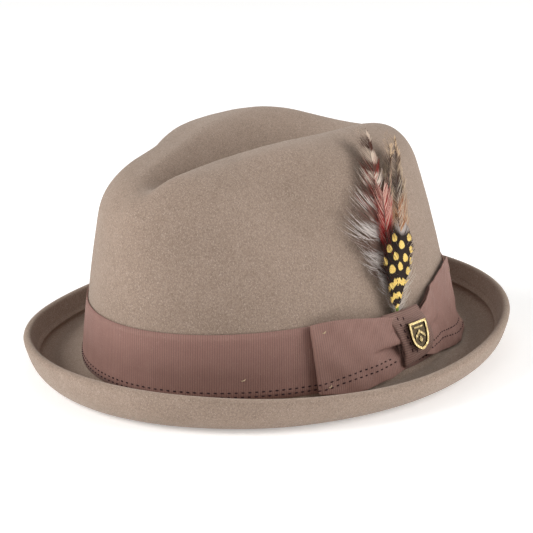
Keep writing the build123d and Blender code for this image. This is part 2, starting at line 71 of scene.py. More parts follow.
def side_dist(x, y, h):
    t = np.clip(h / TAPER_H, -0.2, 1.6)

    def tap(k):
        return 1 - (1 - k) * (0.55 * t + 0.45 * t * np.abs(t))
    a = HEAD_A * tap(TAPER_SIDE)
    b = np.where(y < 0, HEAD_B * tap(TAPER_FRONT), HEAD_B * tap(TAPER_BACK))
    a = a - PINCH * np.exp(-((y - PINCH_Y) / 26.) ** 2 - ((h - PINCH_H) / 24.) ** 2)
    r = np.sqrt(x * x + y * y) + 1e-9
    q = (np.abs(x / a) ** OVAL_N + np.abs(y / b) ** OVAL_N) ** (1 / OVAL_N)
    q = q / (1 + (EGG + EGG_TOP * t) * (y / r) * (x / r) ** 2)
    return r * (1 - 1 / np.maximum(q, 1e-6))


def top_h(x, y):
    yn = y / 80.
    front = 0.5 * (1 - np.tanh((yn + 0.45) * 1.6))
    zr = RIDGE[0] + RIDGE[1] * yn + RIDGE[2] * yn * yn
    zv = DENT[0] + DENT[1] * yn + DENT[2] * yn * yn
    w = DENT_W_BACK * (1 - front) + DENT_W_FRONT * front
    xv = DENT_X * front
    far = (x - xv) < 0
    zr = np.where(far, zr + RIDGE_FAR[0] + RIDGE_FAR[1] * yn + RIDGE_FAR[2] * yn * yn, zr)
    w = np.where(far, w + DENT_W_FAR[0] * front + DENT_W_FAR[1] * (1 - front), w)
    q = np.abs(x - xv) / w
    return zv + (zr - zv) * np.where(q < 1, 0.5 - 0.5 * np.cos(np.pi * np.clip(q, 0, 1)), 1.0)


def field(x, y, h):
    ds = side_dist(x, y, h)
    dt = (h - top_h(x, y)) * 0.9
    k = ROUND + ROUND_FRONT * 0.5 * (1 - np.tanh((y / 80. + 0.45) * 1.6))
    u, v = np.maximum(ds + k, 0), np.maximum(dt + k, 0)
    return np.minimum(np.maximum(ds, dt), -k) + np.sqrt(u * u + v * v)


def radius(th, h, d=0.0):
    th, h, d = np.broadcast_arrays(np.asarray(th, float), np.asarray(h, float), np.asarray(d, float))
    c, s = np.cos(th), np.sin(th)
    lo, hi = np.full(th.shape, 4.), np.full(th.shape, 160.)
    for _ in range(27):
        m = (lo + hi) / 2
        inside = field(m * c, m * s, h) < d
        lo, hi = np.where(inside, m, lo), np.where(inside, hi, m)
    return (lo + hi) / 2


def to_world(p):
    p = np.array(p, float)
    p[..., 2] += BREAK_Z + BREAK_TILT * p[..., 1] / HEAD_B
    return p


def wall(th, h, d):
    """World points (mm) on the crown at angle th (radians), height h, distance d."""
    th, h, d = np.broadcast_arrays(np.asarray(th, float), np.asarray(h, float), np.asarray(d, float))
    r = radius(th, h, d)
    return to_world(np.stack([r * np.cos(th), r * np.sin(th), h], -1))


def wall_deg(a, h, d):
    return wall(np.radians(a), h, d)


def harm(c, th):
    c = list(c) + [0.] * (5 - len(c))
    return c[0] + c[1] * np.sin(th) + c[2] * np.cos(2 * th) + c[3] * np.sin(3 * th) + c[4] * np.cos(4 * th)


class Brim:
    """The brim's middle line at a set of angles."""

    def __init__(self, th):
        self.th = th
        e = 1e-4

        def pt(t):
            r = (np.abs(np.cos(t) / HEAD_A) ** OVAL_N + np.abs(np.sin(t) / HEAD_B) ** OVAL_N) ** (-1 / OVAL_N)
            r = r * (1 + EGG * np.sin(t) * np.cos(t) ** 2)
            return np.stack([r * np.cos(t), r * np.sin(t)], -1)
        self.oval, d = pt(th), pt(th + e) - pt(th - e)
        d = d / np.linalg.norm(d, axis=-1, keepdims=True)
        self.out = np.stack([d[:, 1], -d[:, 0]], -1)
        self.L = harm(BRIM_L, th)
        drop, curl, flat = np.radians(harm(BRIM_DROP, th)), np.radians(harm(BRIM_CURL, th)), harm(BRIM_FLAT, th)
        self.n = 241
        t = np.linspace(0, 1, self.n)[:, None]
        q = np.clip((t * self.L - flat) / (self.L * 0.92 - flat), 0, 1)
        al = -drop + (curl + drop) * (q * q * (3 - 2 * q))
        ds = self.L / (self.n - 1)
        z0 = np.zeros((1, len(th)))
        self.S = np.concatenate([z0, np.cumsum(0.5 * (np.cos(al[1:]) + np.cos(al[:-1])) * ds, 0)])
        self.Z = np.concatenate([z0, np.cumsum(0.5 * (np.sin(al[1:]) + np.sin(al[:-1])) * ds, 0)])
        self.al = al
        self.rise = BREAK_Z + BREAK_TILT * np.sin(th)

    def mid(self, l):
        i = np.clip(np.broadcast_to(l, self.th.shape) / self.L * (self.n - 1), 0, self.n - 1.0001)
        k = i.astype(int)
        f, j = i - k, np.arange(len(self.th))
        return tuple(A[k, j] * (1 - f) + A[k + 1, j] * f for A in (self.S, self.Z, self.al))

    def place(self, s, z):
        xy = self.oval + self.out * np.reshape(s, (-1, 1))
        return np.concatenate([xy, np.reshape(z + self.rise, (-1, 1))], 1)

    def row(self, l, off, ds=0.0, dz=0.0):
        s, z, al = self.mid(l)
        return self.place(s - np.sin(al) * off + ds, z + np.cos(al) * off + dz)

    def cap(self, deg):
        half = FELT / 2
        s, z, al = self.mid(self.L)
        ms, mz = s - np.sin(al) * (FELT - half), z + np.cos(al) * (FELT - half)
        b = np.radians(deg)
        return self.place(ms + FELT * np.cos(al + b), mz + FELT * np.sin(al + b))


# ---- mesh helpers -----------------------------------------------------------
def grid_faces(n, m, close_n=False, close_m=False, start=0):
    i = np.arange(n if close_n else n - 1)
    j = np.arange(m if close_m else m - 1)
    I, J = np.meshgrid(i, j, indexing="ij")
    I1, J1 = (I + 1) % n, (J + 1) % m
    return (np.stack([I * m + J, I * m + J1, I1 * m + J1, I1 * m + J], -1).reshape(-1, 4) + start)


def new_mesh(name, verts, faces, mat, slot, body="hat", attrs=None, nodes=(), smooth=True):
    """A piece from points in mm and faces (an array of quads, or a list)."""
    me = bpy.data.meshes.new(name)
    verts = np.asarray(verts, float) * MM
    if isinstance(faces, np.ndarray):
        me.vertices.add(len(verts))
        me.vertices.foreach_set("co", verts.astype(np.float32).ravel())
        me.loops.add(faces.size)
        me.loops.foreach_set("vertex_index", faces.astype(np.int32).ravel())
        me.polygons.add(len(faces))
        me.polygons.foreach_set("loop_start", np.arange(0, faces.size, faces.shape[1], dtype=np.int32))
        me.update(calc_edges=True)
    else:
        me.from_pydata(verts.tolist(), [], faces)
        me.update()
    me.validate()
    if smooth:
        me.polygons.foreach_set("use_smooth", np.ones(len(me.polygons), dtype=bool))
    for key, val in (attrs or {}).items():
        val = np.asarray(val, np.float32)
        kind = "FLOAT_VECTOR" if val.ndim == 2 else "FLOAT"
        at = me.attributes.new(key, kind, "POINT")
        at.data.foreach_set("vector" if val.ndim == 2 else "value", val.ravel())
    me.materials.append(mat)
    ob = bpy.data.objects.new(name, me)
    bpy.context.scene.collection.objects.link(ob)
    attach(ob, body)
    if nodes:
        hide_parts(*nodes)
    return ob


def normals_of(G, close_n=False, close_m=False):
    """Unit normals of a point grid (n along, m across)."""
    if close_n:
        du = np.roll(G, -1, 0) - np.roll(G, 1, 0)
    else:
        du = np.gradient(G, axis=0)
    if close_m:
        dv = np.roll(G, -1, 1) - np.roll(G, 1, 1)
    else:
        dv = np.gradient(G, axis=1)
    n = np.cross(du, dv)
    return n / (np.linalg.norm(n, axis=-1, keepdims=True) + 1e-12)


def lengths(G, axis):
    d = np.linalg.norm(np.diff(G, axis=axis), axis=-1)
    z = np.zeros_like(np.take(d, [0], axis=axis))
    return np.concatenate([z, np.cumsum(d, axis=axis)], axis=axis)


PITCH = 1.15     # ribs of the grosgrain ribbon


def ribbon(name, G, mat, slot, closed=False, t=0.6, rib=0.11, nodes=(), body="hat", flip=False, pitch=PITCH):
    """A woven ribbon along its first axis, ribs across it, as a closed sheet."""
    n, m = G.shape[:2]
    nrm = normals_of(G, close_n=closed)
    if flip:
        nrm = -nrm
    mid = G[:, m // 2]
    if closed:
        seg = np.linalg.norm(np.roll(mid, -1, 0) - mid, axis=1)
        total = seg.sum()
        u = np.concatenate([[0], np.cumsum(seg)[:-1]])
        pitch = total / round(total / pitch)
    else:
        u = lengths(mid[:, None], 0)[:, 0]
    v = lengths(G, 1)
    across = v / v[:, -1:]
    hem = np.clip(np.minimum(across, 1 - across) / 0.03, 0, 1)
    prof = np.abs(np.cos(np.pi * u / pitch))[:, None] ** 0.6
    a = (t / 2 - rib * 0.6) + rib * 1.2 * prof * (0.35 + 0.65 * hem)
    F = G + nrm * a[..., None]
    B = G - nrm * a[..., None]
    V = np.concatenate([F.reshape(-1, 3), B.reshape(-1, 3)])
    k = n * m
    f = [grid_faces(n, m, close_n=closed), grid_faces(n, m, close_n=closed, start=k)[:, ::-1]]
    i = np.arange(n if closed else n - 1)
    i1 = (i + 1) % n
    f.append(np.stack([i * m, i1 * m, i1 * m + k, i * m + k], -1))
    f.append(np.stack([i * m + m - 1, i * m + m - 1 + k, i1 * m + m - 1 + k, i1 * m + m - 1], -1))
    if not closed:
        j = np.arange(m - 1)
        f.append(np.stack([j, j + k, j + 1 + k, j + 1], -1))
        e = (n - 1) * m
        f.append(np.stack([e + j, e + j + 1, e + j + 1 + k, e + j + k], -1))
    uu = np.repeat(u[:, None], m, 1) / pitch
    at = np.stack([uu, v, across], -1).reshape(-1, 3)
    Fc = np.concatenate(f)
    if flip:
        Fc = Fc[:, ::-1]
    return new_mesh(name, V, Fc, mat, slot, body, {"rib": np.concatenate([at, at])}, nodes)


def sheet_solid(name, G, t, mat, slot, close_n=False, nodes=(), body="hat", flip=False, attrs=None):
    """A plain cloth sheet of thickness t about a point grid."""
    n, m = G.shape[:2]
    nrm = normals_of(G, close_n=close_n) * (-1 if flip else 1)
    V = np.concatenate([(G + nrm * t / 2).reshape(-1, 3), (G - nrm * t / 2).reshape(-1, 3)])
    k = n * m
    f = [grid_faces(n, m, close_n), grid_faces(n, m, close_n, start=k)[:, ::-1]]
    i = np.arange(n if close_n else n - 1)
    i1 = (i + 1) % n
    f.append(np.stack([i * m, i1 * m, i1 * m + k, i * m + k], -1))
    f.append(np.stack([i * m + m - 1, i * m + m - 1 + k, i1 * m + m - 1 + k, i1 * m + m - 1], -1))
    if not close_n:
        j = np.arange(m - 1)
        f.append(np.stack([j, j + k, j + 1 + k, j + 1], -1))
        e = (n - 1) * m
        f.append(np.stack([e + j, e + j + 1, e + j + 1 + k, e + j + k], -1))
    F = np.concatenate(f)
    if flip:
        F = F[:, ::-1]
    mid = G[:, m // 2]
    u = lengths(mid[:, None], 0)
    at = np.stack([np.repeat(u, m, 1), lengths(G, 1), np.repeat(np.linspace(0, 1, m)[None], n, 0)], -1).reshape(-1, 3)
    return new_mesh(name, V, F, mat, slot, body, {"rib": np.concatenate([at, at])}, nodes)


def tube(path, rad, sides=8, closed=False, twist=None):
    """Verts and quads of a tube along a path (mm); rad is one number, a row, or a grid."""
    P = np.asarray(path, float)
    n = len(P)
    T = (np.roll(P, -1, 0) - np.roll(P, 1, 0)) if closed else np.gradient(P, axis=0)
    T = T / (np.linalg.norm(T, axis=1, keepdims=True) + 1e-12)
    up = np.zeros_like(P)
    ref = np.array([0.31, 0.22, 0.93])
    a = ref - T[0] * (ref @ T[0])
    for i in range(n):
        a = a - T[i] * (a @ T[i])
        a = a / np.linalg.norm(a)
        up[i] = a
    side = np.cross(T, up)
    if closed:
        # spread the leftover turn so that the ends meet
        b = up[-1] - T[0] * (up[-1] @ T[0])
        ang = math.atan2(float(b @ side[0]), float(b @ up[0]))
        w = -ang * np.arange(n) / n
        up, side = (up * np.cos(w)[:, None] + side * np.sin(w)[:, None],
                    -up * np.sin(w)[:, None] + side * np.cos(w)[:, None])
    ph = np.linspace(0, 2 * np.pi, sides, endpoint=False)
    rad = np.broadcast_to(np.asarray(rad, float).reshape((-1, 1)) if np.ndim(rad) < 2 else rad, (n, sides))
    V = P[:, None] + rad[..., None] * (up[:, None] * np.cos(ph)[None, :, None] + side[:, None] * np.sin(ph)[None, :, None])
    F = grid_faces(n, sides, closed, True)
    return V.reshape(-1, 3), F


def capped(path, rad, sides=8):
    """A tube whose ends are closed by drawing the end rings almost to a point."""
    P = np.asarray(path, float)
    d0, d1 = P[0] - P[1], P[-1] - P[-2]
    d0, d1 = d0 / np.linalg.norm(d0), d1 / np.linalg.norm(d1)
    rad = np.broadcast_to(np.asarray(rad, float), (len(P),)).astype(float)
    P = np.concatenate([[P[0] + d0 * rad[0] * 0.55], [P[0] + d0 * rad[0] * 0.35], P, [P[-1] + d1 * rad[-1] * 0.35], [P[-1] + d1 * rad[-1] * 0.55]])
    rad = np.concatenate([[rad[0] * 0.05, rad[0] * 0.75], rad, [rad[-1] * 0.75, rad[-1] * 0.05]])
    return tube(P, rad, sides)


def join(parts):
    V, F, k = [], [], 0
    for v, f in parts:
        V.append(v)
        F.append(f + k)
        k += len(v)
    return np.concatenate(V), np.concatenate(F)


def dashes(P, Q, N, r=0.3, flat=0.62, arch=0.12, sides=6):
    """Thread stitches from P to Q (rows of points), lying on a face with normals N."""
    P, Q, N = (np.asarray(a, float) for a in (P, Q, N))
    k = 7
    t = np.linspace(0, 1, k)
    prof = np.array([0.25, 0.8, 1.0, 1.0, 1.0, 0.8, 0.25])
    mid = P[:, None] + (Q - P)[:, None] * t[None, :, None] + N[:, None] * (arch * np.sin(np.pi * t))[None, :, None]
    T = (Q - P) / np.linalg.norm(Q - P, axis=1, keepdims=True)
    S = np.cross(T, N)
    S = S / np.linalg.norm(S, axis=1, keepdims=True)
    U = np.cross(S, T)
    ph = np.linspace(0, 2 * np.pi, sides, endpoint=False)
    V = (mid[:, :, None] + r * prof[None, :, None, None] *
         (S[:, None, None] * np.cos(ph)[None, None, :, None] + flat * U[:, None, None] * np.sin(ph)[None, None, :, None]))
    n = len(P)
    base = grid_faces(k, sides, False, True)
    # end caps
    caps = []
    for e in (0, k - 1):
        o = e * sides
        q = [[o, o + 1, o + 2, o + 3], [o, o + 3, o + 4, o + 5]]
        caps += q if e else [x[::-1] for x in q]
    base = np.concatenate([base, np.array(caps)])
    F = (base[None] + (np.arange(n) * k * sides)[:, None, None]).reshape(-1, 4)
    return V.reshape(-1, 3), F


def smoothstep(x, a=0.0, b=1.0):
    t = np.clip((np.asarray(x, float) - a) / (b - a), 0, 1)
    return t * t * (3 - 2 * t)


def cubic(x, xs, ys):
    """Smooth curve through a table (Catmull-Rom slopes)."""
    xs, ys = np.asarray(xs, float), np.asarray(ys, float)
    if xs[0] > xs[-1]:
        xs, ys = xs[::-1], ys[::-1]
    m = np.gradient(ys, xs)
    x = np.clip(np.asarray(x, float), xs[0], xs[-1])
    i = np.clip(np.searchsorted(xs, x) - 1, 0, len(xs) - 2)
    h = xs[i + 1] - xs[i]
    t = (x - xs[i]) / h
    return ((2 * t ** 3 - 3 * t ** 2 + 1) * ys[i] + (t ** 3 - 2 * t ** 2 + t) * h * m[i]
            + (-2 * t ** 3 + 3 * t ** 2) * ys[i + 1] + (t ** 3 - t ** 2) * h * m[i + 1])


def waves(P, size, seed):
    """Smooth random field in space from a few plane waves, about -1 to 1."""
    g = np.random.default_rng(seed)
    out = np.zeros(P.shape[:-1])
    for _ in range(9):
        k = g.normal(size=3)
        k = k / np.linalg.norm(k) * 2 * np.pi / size * g.uniform(0.6, 1.5)
        out += np.sin(P @ k + g.uniform(0, 2 * np.pi))
    return out / 3.2


# ---- materials ---------------------------------------------------------------
class Mat:
    def __init__(self, name, rough=0.8, **sockets):
        self.m = bpy.data.materials.new(name)
        self.m.use_nodes = True
        self.nt = self.m.node_tree
        self.b = self.nt.nodes["Principled BSDF"]
        self.b.inputs["Roughness"].default_value = rough
        for k, v in sockets.items():
            self.b.inputs[k.replace("_", " ")].default_value = v

    def put(self, sock, v):
        if hasattr(v, "is_output"):
            self.nt.links.new(v, sock)
        elif hasattr(v, "__len__") and len(v) == 3 and sock.type == "RGBA":
            sock.default_value = (*v, 1)
        else:
            sock.default_value = v

    def node(self, kind, **props):
        n = self.nt.nodes.new("ShaderNode" + kind)
        for k, v in props.items():
            setattr(n, k, v)
        return n

    def coords(self):
        return self.node("TexCoord").outputs["Object"]

    def attr(self, name, out="Vector"):
        return self.node("Attribute", attribute_name=name).outputs[out]

    def split(self, v):
        n = self.node("SeparateXYZ")
        self.put(n.inputs[0], v)
        return n.outputs[0], n.outputs[1], n.outputs[2]

    def math(self, op, a, b=0.0, c=None, clamp=False):
        n = self.node("Math", operation=op, use_clamp=clamp)
        self.put(n.inputs[0], a)
        self.put(n.inputs[1], b)
        if c is not None:
            self.put(n.inputs[2], c)
        return n.outputs[0]

    def scaled(self, v, s):
        n = self.node("VectorMath", operation="MULTIPLY")
        self.put(n.inputs[0], v)
        n.inputs[1].default_value = s
        return n.outputs[0]

    def noise(self, v, scale, detail=2.0, rough=0.5, dist=0.0):
        n = self.node("TexNoise")
        self.put(n.inputs["Vector"], v)
        n.inputs["Scale"].default_value = scale
        n.inputs["Detail"].default_value = detail
        n.inputs["Roughness"].default_value = rough
        n.inputs["Distortion"].default_value = dist
        return n.outputs["Fac"]

    def ramp(self, fac, stops, mode="LINEAR"):
        n = self.node("ValToRGB")
        n.color_ramp.interpolation = mode
        e = n.color_ramp.elements
        while len(e) < len(stops):
            e.new(0.5)
        for k, (p, c) in enumerate(stops):
            e[k].position = p
            e[k].color = (*c, 1) if hasattr(c, "__len__") else (c, c, c, 1)
        self.put(n.inputs["Fac"], fac)
        return n.outputs["Color"]

    def mix(self, fac, a, b, mode="MIX"):
        n = self.node("Mix", data_type="RGBA", blend_type=mode)
        self.put(n.inputs["Factor"], fac)
        self.put(n.inputs[6], a)
        self.put(n.inputs[7], b)
        return n.outputs[2]

    def bump(self, height, dist, strength=1.0, normal=None):
        n = self.node("Bump")
        n.inputs["Strength"].default_value = strength
        n.inputs["Distance"].default_value = dist
        self.put(n.inputs["Height"], height)
        if normal is not None:
            self.put(n.inputs["Normal"], normal)
        return n.outputs["Normal"]

    def done(self, colour, normal=None, rough=None):
        self.put(self.b.inputs["Base Color"], colour)
        if normal is not None:
            self.put(self.b.inputs["Normal"], normal)
        if rough is not None:
            self.put(self.b.inputs["Roughness"], rough)
        return self.m


def felt_material():
    m = Mat("wool_felt", 0.95, Sheen_Weight=0.22, Sheen_Roughness=0.55, Specular_IOR_Level=0.15)
    m.b.inputs["Sheen Tint"].default_value = (1.0, 0.93, 0.86, 1)
    c = m.coords()
    broad = m.noise(c, 28, 3)
    mid = m.noise(c, 170, 3, 0.6)
    grain = m.noise(c, 900, 2, 0.65)
    nap = m.noise(m.scaled(c, (1.0, 1.0, 0.55)), 2600, 2, 0.7, 0.4)
    col = m.mix(m.ramp(broad, [(0.35, 0.0), (0.65, 1.0)]), (0.298, 0.222, 0.173), (0.330, 0.248, 0.196))
    col = m.mix(m.ramp(mid, [(0.36, 0.0), (0.64, 1.0)]), m.mix(1.0, col, (0.94, 0.935, 0.93), "MULTIPLY"), col)
    col = m.mix(m.ramp(grain, [(0.34, 0.0), (0.60, 1.0)]), m.mix(1.0, col, (0.80, 0.79, 0.78), "MULTIPLY"), col)
    col = m.mix(m.ramp(nap, [(0.56, 0.0), (0.72, 0.80)]), col, (0.54, 0.45, 0.385))
    col = m.mix(m.ramp(nap, [(0.28, 0.80), (0.44, 0.0)]), col, (0.19, 0.135, 0.102))
    n1 = m.bump(mid, 0.0006, 0.35)
    n2 = m.bump(grain, 0.00028, 0.55, n1)
    n3 = m.bump(nap, 0.00016, 0.8, n2)
    return m.done(col, n3, m.ramp(grain, [(0.3, 0.99), (0.7, 0.86)]))


def grosgrain(name, dark, light, rough=0.62, sheen=0.08, worn=0.35, groove_shade_tint=(0.46, 0.41, 0.41)):
    """Ribbed ribbon: warp-faced weave over the mesh's own ribs, with painted shade in the grooves between the ribs."""
    m = Mat(name, rough, Sheen_Weight=sheen, Sheen_Roughness=0.4, Specular_IOR_Level=0.35)
    u, v, w = m.split(m.attr("rib"))
    rib = m.math("ABSOLUTE", m.math("COSINE", m.math("MULTIPLY", u, math.pi)))
    half = m.math("MULTIPLY", m.math("FLOOR", m.math("ADD", u, 0.5)), math.pi)
    warp = m.math("SINE", m.math("ADD", m.math("MULTIPLY", v, 2 * math.pi / 0.34), half))
    warp = m.math("MULTIPLY_ADD", warp, 0.5, 0.5)
    c = m.coords()
    soft = m.noise(c, 130, 3, 0.6)
    fine = m.noise(c, 1500, 2, 0.6)
    col = m.mix(m.ramp(soft, [(0.25, 0.25), (0.75, 0.75)]), dark, light)
    # painted shade: the colour is multiplied darker in the grooves between the ribs
    groove_shade_mask = m.ramp(rib, [(0.0, 0.0), (0.42, 1.0)])
    col = m.mix(groove_shade_mask, m.mix(1.0, col, groove_shade_tint, "MULTIPLY"), col)
    col = m.mix(m.math("MULTIPLY", warp, 0.22), col, m.mix(1.0, col, (0.72, 0.70, 0.70), "MULTIPLY"))
    col = m.mix(m.ramp(fine, [(0.58, 0.0), (0.80, worn)]), col, m.mix(0.5, light, (0.62, 0.52, 0.46)))
    n1 = m.bump(warp, 0.00008, 0.6)
    n2 = m.bump(fine, 0.00010, 0.5, n1)
    return m.done(col, n2, m.ramp(warp, [(0.0, rough + 0.12), (1.0, rough - 0.06)]))


def thread(name, dark, light, scale=900, rough=0.7):
    m = Mat(name, rough, Sheen_Weight=0.03, Specular_IOR_Level=0.2)
    c = m.coords()
    tw = m.node("TexWave", wave_type="BANDS", bands_direction="DIAGONAL")
    m.put(tw.inputs["Vector"], c)
    tw.inputs["Scale"].default_value = scale
    tw.inputs["Distortion"].default_value = 1.5
    f = tw.outputs["Fac"]
    n = m.noise(c, 1200, 2)
    col = m.mix(f, dark, light)
    col = m.mix(m.ramp(n, [(0.3, 0.0), (0.7, 0.35)]), col, light)
    return m.done(col, m.bump(f, 0.00006, 0.7))


def brass(name, low, high):
    """Antique brass: worn bright above the height high (mm from the badge's back), blackened below low."""
    m = Mat(name, 0.35, Metallic=1.0)
    c = m.coords()
    tarn = m.noise(c, 900, 4, 0.6)
    pits = m.noise(c, 4200, 3, 0.6)
    n = np.array([np.cos(np.radians(-4.5)), np.sin(np.radians(-4.5)), 0.33])
    n = n / np.linalg.norm(n)
    at = wall_deg(0.3, 22.7, B0 + 9.5)
    dot = m.node("VectorMath", operation="DOT_PRODUCT")
    m.put(dot.inputs[0], c)
    dot.inputs[1].default_value = tuple(float(x) for x in n)
    up = m.math("MULTIPLY_ADD", dot.outputs["Value"], 1000.0, -float(np.dot(at, n)))
    up = m.math("MULTIPLY_ADD", tarn, 0.16, up)
    col = m.ramp(tarn, [(0.30, (0.16, 0.115, 0.052)), (0.50, (0.36, 0.28, 0.135)), (0.74, (0.60, 0.49, 0.27))])
    worn = m.ramp(m.math("DIVIDE", m.math("SUBTRACT", up, low), high - low), [(0.0, 0.0), (1.0, 1.0)])
    col = m.mix(worn, m.mix(tarn, (0.020, 0.015, 0.010), (0.075, 0.056, 0.032)), col)
    rough = m.ramp(tarn, [(0.3, 0.52), (0.7, 0.26)])
    return m.done(col, m.bump(pits, 0.00006, 0.5, m.bump(tarn, 0.00012, 0.4)), rough)


def dark_brass():
    m = Mat("blackened_brass", 0.55, Metallic=0.8)
    c = m.coords()
    tarn = m.noise(c, 1600, 4, 0.6)
    col = m.ramp(tarn, [(0.35, (0.055, 0.043, 0.03)), (0.62, (0.16, 0.125, 0.075)), (0.8, (0.42, 0.35, 0.22))])
    return m.done(col, m.bump(tarn, 0.00010, 0.6), m.ramp(tarn, [(0.3, 0.7), (0.7, 0.4)]))


def satin(name, dark, light, rough=0.38):
    m = Mat(name, rough, Specular_IOR_Level=0.45, Sheen_Weight=0.15)
    u, v, w = m.split(m.attr("rib"))
    c = m.coords()
    soft = m.noise(c, 60, 3)
    slub = m.noise(m.scaled(c, (1.0, 1.0, 0.05)), 1800, 2)
    col = m.mix(soft, dark, light)
    col = m.mix(m.ramp(slub, [(0.4, 0.0), (0.7, 0.4)]), col, m.mix(1.0, col, (0.8, 0.8, 0.8), "MULTIPLY"))
    return m.done(col, m.bump(slub, 0.00006, 0.5), m.ramp(slub, [(0.3, rough - 0.06), (0.7, rough + 0.12)]))


def twill(name, dark, light):
    m = Mat(name, 0.85, Sheen_Weight=0.2, Specular_IOR_Level=0.25)
    u, v, w = m.split(m.attr("rib"))
    diag = m.math("MULTIPLY_ADD", m.math("SINE", m.math("MULTIPLY", m.math("ADD", u, v), 2 * math.pi / 0.9)), 0.5, 0.5)
    yarn = m.math("MULTIPLY_ADD", m.math("SINE", m.math("MULTIPLY", m.math("SUBTRACT", u, v), 2 * math.pi / 0.5)), 0.5, 0.5)
    h = m.math("MULTIPLY_ADD", yarn, 0.35, diag)
    c = m.coords()
    wear = m.noise(c, 90, 4, 0.6)
    fine = m.noise(c, 1500, 2)
    col = m.mix(m.math("MULTIPLY", diag, 0.55), dark, light)
    col = m.mix(m.ramp(wear, [(0.35, 0.0), (0.7, 0.4)]), col, dark)
    col = m.mix(m.ramp(fine, [(0.55, 0.0), (0.8, 0.3)]), col, light)
    return m.done(col, m.bump(h, 0.00012, 0.6, m.bump(fine, 0.0001, 0.3)))


FELT_MAT = felt_material()
BAND_MAT = grosgrain("band_grosgrain", (0.250, 0.132, 0.108), (0.318, 0.176, 0.146))
BOW_MAT = grosgrain("bow_grosgrain", (0.245, 0.132, 0.108), (0.315, 0.176, 0.144))
# painted shade: the knot is the bow's ribbon in darker colours with darker grooves, standing in for the shade it sits
# in
KNOT_SHADED_MAT = grosgrain("knot_grosgrain_painted_shade", (0.165, 0.089, 0.069), (0.270, 0.156, 0.126), groove_shade_tint=(0.22, 0.17, 0.17))
PLUM = thread("plum_thread", (0.014, 0.004, 0.006), (0.042, 0.014, 0.017))
TACK = thread("tan_thread", (0.40, 0.28, 0.17), (0.66, 0.52, 0.36))
WELT_THREAD = thread("felt_coloured_thread", (0.26, 0.19, 0.15), (0.42, 0.32, 0.26))
GREEN = thread("green_thread", (0.10, 0.19, 0.02), (0.34, 0.50, 0.10))
BRASS, MOTIF, DARK_BRASS = brass("antique_brass", 0.85, 1.25), brass("antique_brass_motif", 0.92, 1.42), dark_brass()

# ---- camera ------------------------------------------------------------------
az, el, dist, focal, tx, tz = math.radians(38.808), math.radians(17.132), 1439.406, 2857.836, -1.94, 44.962
back = Vector((math.sin(az) * math.cos(el), -math.cos(az) * math.cos(el), math.sin(el)))
right = Vector((math.cos(az), math.sin(az), 0.0))
up = back.cross(right)
eye = (right * tx + Vector((0, 0, tz)) + back * dist) * MM
cam = bpy.data.cameras.new("camera")
cam_ob = bpy.data.objects.new("camera", cam)
bpy.context.scene.collection.objects.link(cam_ob)
cam_ob.matrix_world = Matrix(((right.x, up.x, back.x, eye.x), (right.y, up.y, back.y, eye.y),
                              (right.z, up.z, back.z, eye.z), (0, 0, 0, 1)))
cam.sensor_width = 36
cam.lens = 36 * focal / 533
cam.clip_start = 0.05
bpy.context.scene.camera = cam_ob
bpy.context.scene.view_settings.view_transform = "Standard"

# ---- felt body -----------------------------------------------------------------
M = 432
TH = np.pi / 2 + np.arange(M) * 2 * np.pi / M
brim = Brim(TH)


def crown_rows(step, hs):
    rows = []
    degs = np.concatenate([[89.3], np.arange(88.4, 0.2, -step)])
    for deg in degs:
        c, s = np.cos(np.radians(deg)), np.sin(np.radians(deg))
        lo, hi = np.full(M, 3.), np.full(M, 150.)
        for _ in range(27):
            m_ = (lo + hi) / 2
            f = field(m_ * c * np.cos(TH), m_ * c * np.sin(TH), 52. + m_ * s)
            lo, hi = np.where(f < 0, m_, lo), np.where(f < 0, hi, m_)
        r = (lo + hi) / 2
        rows.append(np.stack([r * c * np.cos(TH), r * c * np.sin(TH), 52. + r * s], -1))
    for h in hs:
        r = radius(TH, h)
        rows.append(np.stack([r * np.cos(TH), r * np.sin(TH), np.full(M, float(h))], -1))
    return rows


def crown_normal(p):
    e = 0.05
    x, y, h = p[..., 0], p[..., 1], p[..., 2]
    g = np.stack([field(x + e, y, h) - field(x - e, y, h), field(x, y + e, h) - field(x, y - e, h),
                  field(x, y, h + e) - field(x, y, h - e)], -1)
    return g / np.linalg.norm(g, axis=-1, keepdims=True)


